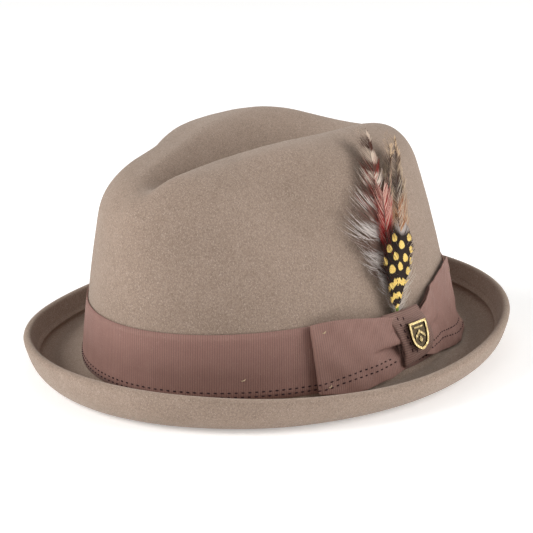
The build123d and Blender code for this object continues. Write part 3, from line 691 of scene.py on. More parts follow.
def make_felt():
    outer = np.array(crown_rows(1.3, np.arange(50.5, 3.0, -1.9).tolist() + [2.4]))
    inner = np.array(crown_rows(3.0, (47., 42., 36., 30., 25., 20., 15., 11., 7.5, 4.0, 2.4)))
    soft = (waves(outer, 46., 3) * 0.16 + waves(outer, 15., 5) * 0.05) * smoothstep(outer[..., 2], 36., 50.)
    outer = outer + crown_normal(outer) * soft[..., None]
    inner = inner - crown_normal(inner) * FELT
    outer, inner = to_world(outer), to_world(inner)
    half = FELT / 2
    edge = brim.L - WELT_W
    rows = [r for r in outer]
    rows += [brim.row(0.12, half, ds=-0.02, dz=FILLET * 0.56), brim.row(0.4, half, dz=FILLET * 0.33),
             brim.row(0.75, half, dz=FILLET * 0.2), brim.row(1.7, half, dz=FILLET * 0.02)]
    rows += [brim.row(3.0 + (edge - 3.0) * f, half) for f in np.linspace(0, 1, 15)]
    # cut edge of the turned-over welt, slightly rounded
    for a, o in ((0.02, 0.30), (0.05, 0.62), (0.16, 0.88), (0.42, 1.0)):
        rows.append(brim.row(edge + a, half + FELT * o))
    for f in np.linspace(0.9, WELT_W - 0.1, 15):
        sink = 0.20 * np.exp(-((f - 3.6) / 0.55) ** 2)
        rows.append(brim.row(edge + f, half + FELT - sink))
    rows += [brim.cap(b) for b in (75, 58, 40, 22, 5, -12, -30, -48, -66)]
    rows += [brim.row(brim.L * f, -half) for f in np.linspace(0.985, 0.05, 24)]
    rows += [brim.row(0.0, -half, ds=-0.35, dz=0.06), brim.row(0.0, -half, ds=-0.9, dz=0.36),
             brim.row(0.0, -half, ds=-1.45, dz=0.85), brim.row(0.0, -half, ds=-1.85, dz=1.5)]
    rows += [r for r in inner[::-1]]
    G = np.array(rows)
    n0 = len(outer) + 4
    n1 = len(G) - len(inner) - 4
    # gentle unevenness of the hand-turned brim
    part = G[n0:n1]
    lift = (waves(part[:1] * np.array([1, 1, 0]), 70., 8) * 0.18) * np.ones(part.shape[:2])
    ramp = smoothstep(np.linalg.norm(part[..., :2] - np.repeat(G[n0 - 4:n0 - 3, :, :2], len(part), 0), axis=-1), 4., 22.)
    part[..., 2] += np.clip(lift, -0.0, 0.5) * ramp
    F = grid_faces(len(G), M, False, True)
    V = G.reshape(-1, 3)
    k = len(V)
    top = G[0].mean(0)
    bot = G[-1].mean(0)
    V = np.concatenate([V, [top, bot]])
    tris = []
    e = (len(G) - 1) * M
    faces = F.tolist()
    for j in range(M):
        tris.append([j, k, (j + 1) % M][::-1])
        tris.append([e + j, e + (j + 1) % M, k + 1][::-1])
    faces = [f[::-1] for f in faces] + [t[::-1] for t in tris]
    return new_mesh("felt_shell", V, faces, FELT_MAT, "felt", nodes=("felt_body",))


felt = make_felt()

# thread row that holds the welt
_n = 292
_t = np.linspace(0, 2 * np.pi, _n, endpoint=False)


def welt_points(t):
    b = Brim(t)
    p = b.row(b.L - WELT_W + 3.6, FELT * 1.5 - 0.14)
    q = b.row(b.L - WELT_W + 3.6, FELT * 1.5 + 0.86)
    n = q - p
    return p, n / np.linalg.norm(n, axis=1, keepdims=True)


_p, _nn = welt_points(_t)
_q, _ = welt_points(_t + 2 * np.pi / _n * 0.68)
new_mesh("welt_stitches", *dashes(_p, _q, _nn, r=0.20, arch=0.08), WELT_THREAD, "felt_thread", nodes=("welt_stitching",))

# ---- hat band --------------------------------------------------------------------
_cols = 2124
_th = np.linspace(0, 2 * np.pi, _cols, endpoint=False)
_hs = np.linspace(BAND_H0, BAND_H1, 10)
# even spacing round the oval
_c = wall(_th, 20., BAND_GAP + BAND_T / 2)
_seg = np.linalg.norm(np.roll(_c, -1, 0) - _c, axis=1)
_s = np.concatenate([[0], np.cumsum(_seg)])
_th = np.interp(np.linspace(0, _s[-1], _cols, endpoint=False), _s, np.append(_th, 2 * np.pi))
_deg = (np.degrees(_th) + 180) % 360 - 180
_dip = 6.2 * smoothstep(_deg, -28., -15.) * smoothstep(_deg, 24., 13.)
_hh0 = BAND_H0 + (BAND_H1 - _dip[:, None] - BAND_H0) * ((_hs[None, :] - BAND_H0) / (BAND_H1 - BAND_H0))
_G = wall(_th[:, None], _hh0, BAND_GAP + BAND_T / 2)
band = ribbon("band_ribbon", _G, BAND_MAT, "band_ribbon", closed=True, nodes=("hat_band",), flip=False)


def wall_normal(a_deg):
    a = np.radians(np.asarray(a_deg, float))
    return np.stack([np.cos(a), np.sin(a), np.full(a.shape, 0.12)], -1)


def wall_dashes(rows, r=0.30, length=1.65, period=3.3, arch=0.10):
    """Stitches along rows given as (angles, heights, distances)."""
    out = []
    for a, h, d in rows:
        P = wall_deg(a, h, d)
        s = lengths(P[:, None], 0)[:, 0]
        n = int(s[-1] / period)
        k = np.arange(n) * period + 0.3
        ends = []
        for off in (0.0, length):
            ends.append(np.stack([np.interp(k + off, s, P[:, i]) for i in range(3)], -1))
        aa = np.interp(k, s, a)
        out.append(dashes(ends[0], ends[1], wall_normal(aa), r=r, arch=arch))
    return join(out)


_a = np.linspace(-180, 180, 2400)
new_mesh("band_stitches", *wall_dashes([(_a, np.full(_a.shape, h), np.full(_a.shape, BAND_GAP + BAND_T + 0.10)) for h in (5.6, 7.8)],
                                       r=0.36), PLUM, "plum_thread", nodes=("band_stitching",))


# thread tacks: a few short crossed stitches each
def tack(a, h, d, lean=0.0, size=1.5):
    out = []
    for k, (da, dh, tilt) in enumerate(((0.0, 0.0, 0.55), (0.25, 0.1, 1.0), (-0.2, -0.1, 0.15))):
        t = lean + tilt
        r = 85.0
        dx, dz = size / 2 * math.cos(t), size / 2 * math.sin(t)
        p = wall_deg(a + da - math.degrees(dx / r), h + dh - dz, d)
        q = wall_deg(a + da + math.degrees(dx / r), h + dh + dz, d + 0.02)
        out.append(dashes(p[None], q[None], wall_normal([a]), r=0.20, arch=0.12 + 0.08 * k))
    return join(out)


# ---- bow -------------------------------------------------------------------------
class Loop:
    """A flat ribbon loop: inner ply out from the knot, fold, outer ply back."""

    def __init__(self, sign, knot, fold_bot, fold_top, top, bottom, creases, belly, pockets=(), flare=0.0, press=0.0):
        self.pockets, self.flare, self.press = pockets, flare, press
        self.sign, self.knot, self.fold_bot, self.fold_top = sign, knot, fold_bot, fold_top
        self.top, self.bottom, self.creases, self.belly = top, bottom, creases, belly

    def heights(self, a):
        return cubic(a, *self.bottom), cubic(a, *self.top)

    def outer_d(self, a, h):
        """Middle of the outer ply at angle a and height h."""
        h0, h1 = self.heights(a)
        v = np.clip((h - h0) / (h1 - h0), 0, 1)
        fold = self.fold_bot + (self.fold_top - self.fold_bot) * v
        q = np.clip((a - self.knot) / (fold - self.knot), 0, 1)
        d = B0 + 3.0 + self.belly * np.sin(np.pi * np.clip(q, 0, 1) ** 0.9) + 2.1 * smoothstep(1 - q, 0.55, 1.0)
        d = d + 0.55 * np.sin(np.pi * v) * smoothstep(q, 0.0, 0.5)
        if self.press:
            d = d - self.press * smoothstep(a, 7., 29.)
        for pts, depth, wide in self.creases:
            aa, hh = pts
            lo, hi = min(aa), max(aa)
            hc = np.interp(a, sorted(aa), [hh[aa.index(x)] for x in sorted(aa)])
            k = (a - lo) / (hi - lo) if self.sign < 0 else (hi - a) / (hi - lo)
            k = smoothstep(k, 0.0, 0.9)
            x = np.abs(h - hc) / wide
            d = d - depth * k * (np.exp(-x) * 0.75 + np.exp(-(x / 3.2) ** 2) * 0.25)
        for pts, edge0, edge1, drop in self.pockets:
            below = np.interp(a, *pts) - h
            d = d - drop * smoothstep(a, edge0, edge1) * smoothstep(below, -0.3, 0.9) * (1 - 0.8 * smoothstep(below, 1.0, 8.5))
            d = d + 0.55 * smoothstep(a, edge0, edge1) * np.exp(-((below + 2.2) / 1.8) ** 2)
        d = np.maximum(d, B0 + 1.0) + self.flare * smoothstep(a, 24., 36.) * smoothstep(h, 10.5, 3.0) if self.flare else d
        d = d + 0.22 * np.sin(a * 0.55 + h * 0.33) * smoothstep(q, 0.1, 0.4) + 0.12 * np.sin(a * 1.3 - h * 0.8)
        return np.maximum(d, B0 + (1.0 if self.press else 1.3))

    def inner_d(self, a, h):
        q = (a - self.knot) / (self.fold_bot - self.knot)
        return B0 + 0.35 + 0.35 * smoothstep(1 - q, 0.55, 1.0) + 0 * h

    def grid(self, v, n=900):
        """Points along the loop for the ply parameter; v is a row of widths."""
        t = np.linspace(0, 1, n)[:, None]
        v = np.asarray(v)[None, :]
        fold = self.fold_bot + (self.fold_top - self.fold_bot) * v
        bulge = 0.9
        A, D, H = [], [], []
        # inner ply
        q = np.clip(t / 0.46, 0, 1)
        a_in = self.knot + (fold - self.knot) * q
        q2 = np.clip((t - 0.54) / 0.46, 0, 1)
        a_out = fold + (self.knot - fold) * q2
        f = np.clip((t - 0.46) / 0.08, 0, 1)
        a = np.where(t < 0.46, a_in, np.where(t > 0.54, a_out, fold + self.sign * np.degrees(bulge * np.sin(np.pi * f) / 88.)))
        h0, h1 = self.heights(np.clip(a, *sorted((self.knot, self.fold_top, self.fold_bot))[::2]))
        w = 0.5 - 0.5 * np.cos(np.pi * f)
        h = h0 + (h1 - h0) * v - (3.2 if self.press else 1.3) * (1 - w) * v
        di, do = self.inner_d(a, h), self.outer_d(a, h)
        d = np.where(t < 0.46, di, np.where(t > 0.54, do, di + (do - di) * w))
        d = np.maximum(d, B0 + 0.33)
        P = wall(np.radians(a), h, d)
        mid = P[:, P.shape[1] // 2]
        s = lengths(mid[:, None], 0)[:, 0]
        m = int(s[-1] / (PITCH / 4))
        out = np.empty((m, P.shape[1], 3))
        for j in range(P.shape[1]):
            for i in range(3):
                out[:, j, i] = np.interp(np.linspace(0, s[-1], m), s, P[:, j, i])
        return out


FRONT = Loop(-1, -2.0, -35.9, -38.4,
             ([-38.6, -32, -24.3, -15, -10.9, -6.5, -2.0], [37.8, 38.4, 37.4, 35.2, 34.2, 32.6, 30.6]),
             ([-38.6, -35.7, -25.6, -18.6, -14.4, -10, -5.1, -2.0], [4.2, 3.9, 2.3, 2.8, 3.8, 4.5, 6.6, 9.0]),
             [              (([-15.0, -4.0], [27.5, 25.0]), 0.8, 1.6),
              (([-13.0, -4.0], [9.6, 11.5]), 0.5, 1.5)], 1.35,
             pockets=[(([-21., -17.3, -11.8, -3.6], [19.0, 19.3, 19.6, 19.9]), -20.0, -6.5, 4.6)])
REAR = Loop(1, 5.0, 50.8, 50.2,
            ([5, 8.5, 11.8, 20.7, 29, 37.6, 45, 51], [30.2, 32.4, 34.0, 37.4, 39.6, 40.8, 40.4, 39.4]),
            ([5, 9, 13, 19.7, 28.3, 38, 45, 51], [10.4, 8.4, 6.8, 4.7, 2.3, 2.1, 2.4, 3.0]),
            [(([8.0, 13.3, 18.6, 26.3, 36.7], [19.8, 19.7, 19.5, 18.2, 15.2]), 2.0, 1.5),
             (([8.0, 20.0], [27.0, 31.5]), 0.8, 1.7),
             (([8.0, 19.0], [13.0, 10.0]), 0.6, 1.5)], 0.7, flare=3.0, press=3.5)

_v = 0.5 - 0.5 * np.cos(np.linspace(0, np.pi, 56)) * 1.0
_v = 0.35 * _v + 0.65 * np.linspace(0, 1, 56)
front = ribbon("bow_front", FRONT.grid(_v), BOW_MAT, "bow_ribbon", nodes=("bow_front_loop",), t=0.55)
rear = ribbon("bow_rear", REAR.grid(_v), BOW_MAT, "bow_ribbon", nodes=("bow_rear_loop",), t=0.55)


def loop_rows(loop, tables):
    rows = []
    for aa, hh in tables:
        a = np.linspace(aa[0], aa[-1], 160)
        h = cubic(a, aa, hh)
        rows.append((a, h, loop.outer_d(a, h) + 0.36))
    return rows


_rows = loop_rows(FRONT, [([-37.4, -35.1, -26.4, -16.7, -7.0], [9.0, 9.2, 11.5, 12.8, 13.6]),
                          ([-37.4, -35.2, -26.5, -16.9, -6.0], [6.1, 6.3, 8.7, 9.9, 12.0])])
_rows += loop_rows(REAR, [([10.5, 12.6, 20.1, 29.2, 38.5, 48.0], [13.6, 13.6, 13.3, 11.4, 8.6, 8.0]),
                          ([10.5, 12.1, 23.5, 32.0, 40.5, 48.0], [10.9, 10.8, 9.6, 7.2, 5.2, 5.0])])

# gathered middle, under the knot
_t = np.linspace(0, 1, 150)[:, None]
_w = np.linspace(0, 1, 22)[None, :]
_G = wall_deg(-4.6 + 14.6 * _t, 10.9 + 20.8 * _w + 0 * _t, B0 + 4.75 + 0.28 * np.sin(_w * 26 + 1.5 * _t))
waist = ribbon("bow_gather", _G, BOW_MAT, "bow_ribbon", nodes=("bow_waist",), t=0.45)

# knot: one turn of ribbon over the gathered middle
_LH = ([8.0, 9.3, 13.8, 17.4, 21.7, 25.4, 29.0, 33.0, 34.4], [-4.8, -5.3, -5.3, -5.5, -6.1, -6.9, -8.2, -11.2, -12.0])
_RH = ([8.0, 10.2, 13.2, 17.8, 23.2, 29.2, 34.4], [6.6, 7.8, 9.4, 10.2, 9.8, 8.2, 6.6])


def knot_d(s, v):
    """Outside of the knot's front face, s from top to bottom, v from left to right."""
    arc = np.clip(np.sin(np.pi * np.clip(s, 0, 1)), 0, 1) ** 0.42
    d = B0 + 4.0 + 4.1 * arc + 3.4 * (s - 0.5) * arc
    d = d - 1.7 * (np.abs(2 * v - 1) ** 3.2) * arc
    d = d - 0.42 * np.exp(-((v - 0.30 - 0.10 * s) / 0.045) ** 2) * np.sin(np.pi * np.clip(s, 0, 1)) ** 0.5
    d = d - 0.30 * np.exp(-((v - 0.80 + 0.12 * s) / 0.05) ** 2) * np.sin(np.pi * np.clip(s, 0, 1)) ** 0.5
    return d + 0.12 * np.sin(5 * s + 4 * v)


def knot_at(s, v):
    hb = 7.4 + 3.0 * v
    ht = 34.6 - 0.4 * v
    h = ht - (ht - hb) * s
    a = cubic(h, *_LH) * (1 - v) + cubic(h, *_RH) * v
    return a, h


def knot_grid(n=620, m=20):
    t = np.linspace(0, 1, n, endpoint=False)[:, None]
    v = np.linspace(0, 1, m)[None, :]
    s = np.where(t < 0.56, t / 0.56, 1 - (t - 0.56) / 0.44)
    s = np.broadcast_to(s, (n, m)).copy()
    v = np.broadcast_to(v, (n, m))
    a, h = knot_at(s, v)
    d_back = B0 + 3.25 + 0 * s + 0.75 * (1 - np.clip(np.sin(np.pi * s), 0, 1) ** 0.42)
    d = np.where(t < 0.56, knot_d(s, v), d_back)
    P = wall_deg(a, h, d)
    mid = P[:, m // 2]
    seg = np.linalg.norm(np.roll(mid, -1, 0) - mid, axis=1)
    S = np.concatenate([[0], np.cumsum(seg)])
    k = int(S[-1] / (PITCH / 5))
    out = np.empty((k, m, 3))
    for j in range(m):
        for i in range(3):
            out[:, j, i] = np.interp(np.linspace(0, S[-1], k, endpoint=False), S, np.append(P[:, j, i], P[0, j, i]))
    return out


# the knot wears the darker copy of the bow ribbon, which is painted shade
knot = ribbon("bow_knot_wrap", knot_grid()[:, ::-1], KNOT_SHADED_MAT, "knot_ribbon", closed=True, nodes=("bow_knot",), t=0.5, rib=0.17, pitch=PITCH * 1.0)

_kr = []
for _ta, _th_ in (([-5.9, -5.7, -4.5, -3.7, -2.9, -2.5, -2.7], [33.0, 30.6, 26.6, 22.6, 18.6, 15.3, 10.6]),
                  ([-3.3, -3.1, -2.1, -1.3, -0.7, -0.5, -0.9], [32.4, 29.0, 25.5, 21.2, 17.0, 13.3, 10.2])):
    _hh = np.linspace(_th_[0], _th_[-1], 120)
    _aa = cubic(_hh, _th_, _ta)
    _vv = (_aa - cubic(_hh, *_LH)) / (cubic(_hh, *_RH) - cubic(_hh, *_LH))
    _s = (34.6 - 0.4 * _vv - _hh) / (34.6 - 0.4 * _vv - 7.4 - 3.0 * _vv)
    _P = wall_deg(_aa, _hh, knot_d(_s, _vv) + 0.32)
    _L = lengths(_P[:, None], 0)[:, 0]
    _k = np.arange(int(_L[-1] / 3.6)) * 3.6 + 0.2
    _e = [np.stack([np.interp(_k + o, _L, _P[:, i]) for i in range(3)], -1) for o in (0.0, 1.95)]
    _kr.append(dashes(_e[0], _e[1], wall_normal(np.interp(_k, _L, _aa)), r=0.38, arch=0.10))
new_mesh("knot_stitches", *join(_kr), PLUM, "plum_thread", nodes=("knot_stitching",))
new_mesh("bow_stitches", *wall_dashes(_rows, r=0.37), PLUM, "plum_thread")

_tk = [tack(-58.6, 13.8, 1.15), tack(150., 12., 1.15, 0.5)]
for _a1, _h1, _lp in ((-34.6, 33.6, FRONT), (-33.4, 7.4, FRONT), (47.0, 33.5, REAR), (46.5, 6.6, REAR)):
    _tk.append(tack(_a1, _h1, float(_lp.outer_d(np.array(_a1), np.array(_h1))) + 0.42, 0.2))
new_mesh("thread_tacks", *join(_tk), TACK, "tack_thread", nodes=("band_tacks",))

# ---- badge: the CAD nodes with an antique finish -----------------------------------
def dress(node, mat):
    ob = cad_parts[node]
    ob = ob if hasattr(ob, "material_slots") else bpy.data.objects[node]
    if not ob.material_slots:
        ob.data.materials.append(mat)
    for s in ob.material_slots:
        s.material = mat
    return ob


dress("badge_shield", BRASS)
dress("badge_emblem", MOTIF)
dress("badge_prongs", DARK_BRASS)

# ---- feathers --------------------------------------------------------------------
def feather_material(name, kind):
    m = Mat(name, 0.65, Specular_IOR_Level=0.12)
    t, k, r = m.split(m.attr("fa"))
    pat = m.attr("pat", "Fac")
    c = m.coords()
    fine = m.noise(c, 2200, 2)
    ak = m.math("ABSOLUTE", k)
    if kind == "guinea":
        black = m.mix(m.ramp(fine, [(0.3, 0.0), (0.75, 1.0)]), (0.010, 0.006, 0.005), (0.040, 0.024, 0.018))
        gold = m.mix(m.ramp(fine, [(0.3, 0.0), (0.7, 1.0)]), (0.78, 0.50, 0.085), (0.95, 0.74, 0.28))
        col = m.mix(m.ramp(pat, [(0.42, 0.0), (0.58, 1.0)]), black, gold)
        tip = m.mix(r, (0.33, 0.26, 0.23), (0.55, 0.49, 0.46))
        col = m.mix(m.ramp(m.math("ADD", t, m.math("MULTIPLY", ak, 0.10)), [(0.955, 0.0), (1.03, 0.85)]), col, tip)
    elif kind == "red":
        col = m.ramp(m.math("MULTIPLY_ADD", r, 0.35, m.math("MULTIPLY", t, 0.65)),
                     [(0.0, (0.07, 0.006, 0.008)), (0.28, (0.24, 0.010, 0.012)), (0.50, (0.42, 0.024, 0.020)),
                      (0.64, (0.26, 0.030, 0.028)), (0.80, (0.60, 0.32, 0.26)), (1.0, (0.64, 0.46, 0.38))])
        tip = m.math("MULTIPLY", m.ramp(ak, [(0.50, 0.0), (1.0, 0.75)]), m.ramp(m.math("MULTIPLY_ADD", r, 0.5, t), [(0.70, 0.0), (1.05, 1.0)]))
        col = m.mix(tip, col, (0.62, 0.36, 0.30))
        col = m.mix(m.ramp(ak, [(0.0, 0.8), (0.10, 0.0)]), col, (0.07, 0.012, 0.012))
    elif kind == "grizzly":
        ph = m.math("ADD", m.math("MULTIPLY", t, 8.0), m.math("MULTIPLY", ak, 0.62))
        ph = m.math("ADD", ph, m.math("MULTIPLY", r, 0.20))
        bar = m.math("MULTIPLY_ADD", m.math("SINE", m.math("MULTIPLY", ph, 2 * math.pi)), 0.5, 0.5)
        dark = m.mix(m.ramp(t, [(0.55, 0.0), (0.72, 1.0)]), (0.185, 0.115, 0.092), (0.100, 0.042, 0.030))
        pale = m.mix(m.ramp(t, [(0.55, 0.0), (0.80, 1.0)]), (0.60, 0.54, 0.51), (0.66, 0.53, 0.43))
        col = m.mix(m.ramp(bar, [(0.26, 0.0), (0.70, 1.0)]), dark, pale)
        red = m.math("MULTIPLY", m.ramp(t, [(0.52, 0.0), (0.60, 1.0), (0.80, 1.0), (0.86, 0.0)]), m.ramp(r, [(0.72, 0.0), (0.80, 0.85)]))
        col = m.mix(red, col, (0.26, 0.030, 0.024))
        col = m.mix(pat, col, (0.58, 0.53, 0.51))
    else:
        ph = m.math("ADD", m.math("MULTIPLY_ADD", r, 0.07, t), m.math("MULTIPLY", ak, 0.09))
        col = m.ramp(ph, [(0.30, (0.10, 0.055, 0.035)), (0.50, (0.40, 0.27, 0.17)), (0.58, (0.42, 0.17, 0.065)), (0.68, (0.40, 0.15, 0.055)),
                          (0.75, (0.045, 0.026, 0.020)), (0.82, (0.055, 0.030, 0.022)), (0.88, (0.50, 0.37, 0.25)), (0.93, (0.10, 0.055, 0.038)),
                          (0.98, (0.12, 0.07, 0.05)), (1.04, (0.60, 0.43, 0.28))])
        streak = m.math("MULTIPLY", m.ramp(r, [(0.60, 0.0), (0.68, 0.75)]), m.ramp(t, [(0.70, 1.0), (0.78, 0.25)]))
        col = m.mix(streak, col, (0.66, 0.53, 0.40))
        col = m.mix(m.ramp(r, [(0.16, 0.8), (0.22, 0.0)]), col, (0.085, 0.045, 0.028))
        core = m.ramp(ak, [(0.10, 0.9), (0.45, 0.0)])
        mid = m.ramp(t, [(0.62, 0.0), (0.74, 0.9), (0.82, 0.9), (0.95, 0.3)])
        col = m.mix(m.math("MULTIPLY", core, mid), col, (0.035, 0.022, 0.017))
        col = m.mix(m.ramp(m.math("ADD", ak, m.math("MULTIPLY", r, 0.25)), [(0.80, 0.0), (1.15, 0.70)]), col, (0.60, 0.44, 0.30))
        col = m.mix(pat, col, (0.66, 0.58, 0.50))
    col = m.mix(m.ramp(fine, [(0.3, 0.25), (0.6, 0.0)]), col, m.mix(1.0, col, (0.6, 0.6, 0.6), "MULTIPLY"))
    return m.done(col, m.bump(fine, 0.00005, 0.4))


class Quill:
    """A shaft given by rows (angle, height, distance) from the foot to the tip."""

    def __init__(self, rows):
        R = np.array(rows, float)
        P = wall_deg(R[:, 0], R[:, 1], R[:, 2])
        s = lengths(P[:, None], 0)[:, 0]
        self.x, self.R, self.length = s / s[-1], R, s[-1]

    def at(self, t):
        return tuple(cubic(t, self.x, self.R[:, i]) for i in range(3))

    def path(self, n=70, t0=0.0, t1=1.0, dd=0.0):
        a, h, d = self.at(np.linspace(t0, t1, n))
        return wall_deg(a, h, d + dd)


def barbs(q, t, side, length, spread0, spread1, w=0.42, k=12, lift=0.8, jitter=0.12, seed=1, dd=0.0, floor=1.15, pat=0.0, droop=0.0):
    """Barbs of a feather as thin tapered strips lying along the crown's wall."""
    g = np.random.default_rng(seed)
    n = len(t)
    t = np.clip(t + g.normal(size=n) * 0.004, 0, 1)
    a, h, d = q.at(t)
    e = 0.01
    a1, h1, _ = q.at(np.clip(t + e, 0, 1))
    a0, h0, _ = q.at(np.clip(t - e, 0, 1))
    r = radius(np.radians(a), h, d)
    lean = np.arctan2(np.radians(a1 - a0) * r, h1 - h0)
    side = np.broadcast_to(side, (n,)).astype(float)
    L = length * (1 + g.normal(size=n) * jitter)
    u = np.linspace(0, 1, k)[None, :]
    ang = np.radians(spread0)[:, None] * (1 - u) + np.radians(spread1)[:, None] * u
    ang = ang * (1 + g.normal(size=(n, 1)) * 0.10) + g.normal(size=(n, 1)) * 0.03
    direc = lean[:, None] + side[:, None] * ang
    step = L[:, None] / (k - 1)
    s = np.concatenate([np.zeros((n, 1)), np.cumsum((np.sin(direc[:, 1:]) + np.sin(direc[:, :-1])) / 2 * step, 1)], 1)
    z = np.concatenate([np.zeros((n, 1)), np.cumsum((np.cos(direc[:, 1:]) + np.cos(direc[:, :-1])) / 2 * step, 1)], 1)
    wid = w * (1 - 0.85 * u ** 2.2) * (1 + g.normal(size=(n, 1)) * 0.08)
    px, pz = np.cos(direc), -np.sin(direc)
    lay = g.uniform(-0.14, 0.14, size=(n, 1))
    dep = d[:, None] + dd + lay + lift * u ** 1.6 * (1 + g.normal(size=(n, 1)) * 0.3)
    dep = np.maximum(dep, floor + 0.08 * g.uniform(size=(n, 1)))
    pts = []
    for sg in (-0.5, 0.5):
        ss, zz = s + sg * wid * px, z + sg * wid * pz
        aa = np.radians(a)[:, None] + ss / r[:, None]
        hh = h[:, None] + zz
        pts.append(wall(aa, hh, dep + sg * side[:, None] * 0.10))
    ok = np.linalg.norm(np.diff(pts[0], axis=1), axis=-1).max(1) < 1.9 * step[:, 0]
    pts = [x[ok] for x in pts]
    n, t, side, a, h, r, s, z = int(ok.sum()), t[ok], side[ok], a[ok], h[ok], r[ok], s[ok], z[ok]
    V = np.stack(pts, 2).reshape(-1, 3)
    base = grid_faces(k, 2)
    F = (base[None] + (np.arange(n) * k * 2)[:, None, None]).reshape(-1, 4)
    rr = g.uniform(size=(n, 1, 1))
    fa = np.stack([np.broadcast_to(t[:, None, None], (n, k, 2)), np.broadcast_to((side[:, None] * u)[..., None], (n, k, 2)),
                   np.broadcast_to(rr, (n, k, 2))], -1).reshape(-1, 3)
    aa = np.degrees(np.radians(a)[:, None] + s / r[:, None])
    hh = h[:, None] + z
    place = np.stack([np.repeat(aa[..., None], 2, 2).ravel(), np.repeat(hh[..., None], 2, 2).ravel()], -1)
    return V, F, fa, np.full(len(V), float(pat)), place


def vane(q, t0, t1, n, left, right, spread0, spread1, seed, **kw):
    """Both sides of a vane.  left and right are tables (t, barb length)."""
    out = []
    for sd, tab in ((-1, left), (1, right)):
        t = np.linspace(t0, t1, n)
        L = np.interp(t, tab[0], tab[1])
        keep = L > 0.2
        t, L = t[keep], L[keep]
        sp0 = np.interp(t, spread0[0], spread0[1])
        sp1 = np.interp(t, spread1[0], spread1[1])
        out.append(barbs(q, t, sd, L, sp0, sp1, seed=seed + (0 if sd < 0 else 50), **kw))
    return out


def merge(lists):
    V, F, A, B, C, k = [], [], [], [], [], 0
    for v, f, a, b, c in lists:
        V.append(v)
        F.append(f + k)
        A.append(a)
        B.append(b)
        C.append(c)
        k += len(v)
    return tuple(np.concatenate(x) for x in (V, F, A, B, C))


Q_GRIZZLY = Quill([(-3.6, 22.0, 2.4), (-2.6, 31.2, 2.5), (-3.2, 43.2, 2.7), (-3.6, 57.9, 2.9), (-3.0, 72.0, 3.2), (-1.6, 85.5, 3.7),
                   (0.2, 97.0, 4.6), (3.9, 108.3, 7.0), (7.7, 115.6, 10.0)])
Q_BROWN = Quill([(-3.8, 22.0, 2.3), (-1.8, 31.0, 2.0), (2.3, 44.6, 1.8), (6.4, 58.0, 2.0), (10.1, 71.5, 2.4), (12.6, 83.1, 3.2),
                 (15.0, 94.3, 5.0), (20.7, 105.5, 8.0), (23.6, 110.8, 10.5)])
Q_BROWN2 = Quill([(-3.2, 24.0, 2.5), (-0.2, 38.2, 2.4), (1.3, 62.1, 3.0), (5.5, 85.1, 4.0), (9.4, 98.9, 6.8), (17.6, 109.0, 9.3)])
Q_RED = Quill([(-3.8, 24.0, 2.6), (-2.7, 35.3, 3.3), (-3.3, 48.2, 3.7), (-2.1, 60.9, 4.1), (-0.9, 71.6, 4.3), (0.6, 80.8, 4.5), (2.3, 89.9, 4.9)])
Q_GUINEA = Quill([(-4.4, 24.0, 2.7), (-4.4, 33.0, 4.3), (-3.9, 39.6, 4.8), (-2.0, 48.7, 5.2), (0.4, 57.6, 5.5), (3.4, 65.3, 5.8), (5.4, 70.5, 6.0)])

# long barred hackle at the front, fluffy towards its foot
_g = vane(Q_GRIZZLY, 0.30, 0.995, 205,
          ([0.30, 0.40, 0.47, 0.53, 0.60, 0.66, 0.73, 0.83, 0.93, 1.0], [13, 21, 25.5, 24.0, 19.0, 15.5, 12.0, 9.0, 7.0, 4.5]),
          ([0.30, 0.45, 0.55, 0.62, 0.73, 0.83, 0.93, 1.0], [8.0, 11.0, 13.0, 14.0, 12.5, 9.5, 7.2, 4.5]),
          ([0.0, 0.47, 0.60, 0.73, 1.0], [72, 68, 54, 46, 34]), ([0.0, 0.47, 0.60, 0.73, 1.0], [56, 50, 36, 28, 18]),
          11, w=0.42, k=14, lift=0.6, jitter=0.11)
_g += vane(Q_GRIZZLY, 0.27, 0.54, 50, ([0.27, 0.40, 0.54], [14.0, 23.0, 22.0]), ([0.27, 0.64], [0.0, 0.0]),
           ([0.0, 1.0], [78, 62]), ([0.0, 1.0], [44, 36]), 19, w=0.20, k=14, lift=1.2, jitter=0.28, dd=0.35)
# greyish down at the foot
_g += vane(Q_GRIZZLY, 0.11, 0.32, 80, ([0.11, 0.2, 0.32], [6.5, 9.5, 13.0]), ([0.11, 0.32], [5.0, 9.5]),
           ([0.0, 1.0], [74, 66]), ([0.0, 1.0], [16, 26]), 23, w=0.22, k=11, lift=1.2, jitter=0.30, dd=0.7, pat=0.85)
_V, _F, _A, _B, _ = merge(_g)
new_mesh("grizzly_barbs", _V, _F, feather_material("grizzly_barbs", "grizzly"), "grizzly_feather", "feather_bunch",
         {"fa": _A, "pat": _B}, ("grizzly_hackle",))

# brown, black and orange hackles behind
_g = vane(Q_BROWN, 0.20, 0.99, 230,
          ([0.20, 0.35, 0.50, 0.62, 0.72, 0.80, 0.90, 1.0], [5.0, 9.0, 12.0, 13.0, 12.5, 10.0, 7.0, 3.4]),
          ([0.20, 0.35, 0.50, 0.62, 0.72, 0.80, 0.90, 1.0], [5.0, 9.0, 13.0, 14.5, 13.0, 10.0, 7.0, 3.4]),
          ([0.0, 0.6, 1.0], [52, 50, 36]), ([0.0, 0.6, 1.0], [30, 30, 20]), 31, w=0.36, k=14, lift=0.6, jitter=0.15)
_g += vane(Q_BROWN2, 0.34, 0.99, 110, ([0.34, 0.6, 0.85, 1.0], [6.0, 9.0, 8.0, 3.0]), ([0.34, 0.6, 0.85, 1.0], [6.0, 9.0, 8.0, 3.0]),
           ([0.0, 1.0], [44, 30]), ([0.0, 1.0], [22, 14]), 37, w=0.34, k=13, lift=0.6, jitter=0.20)
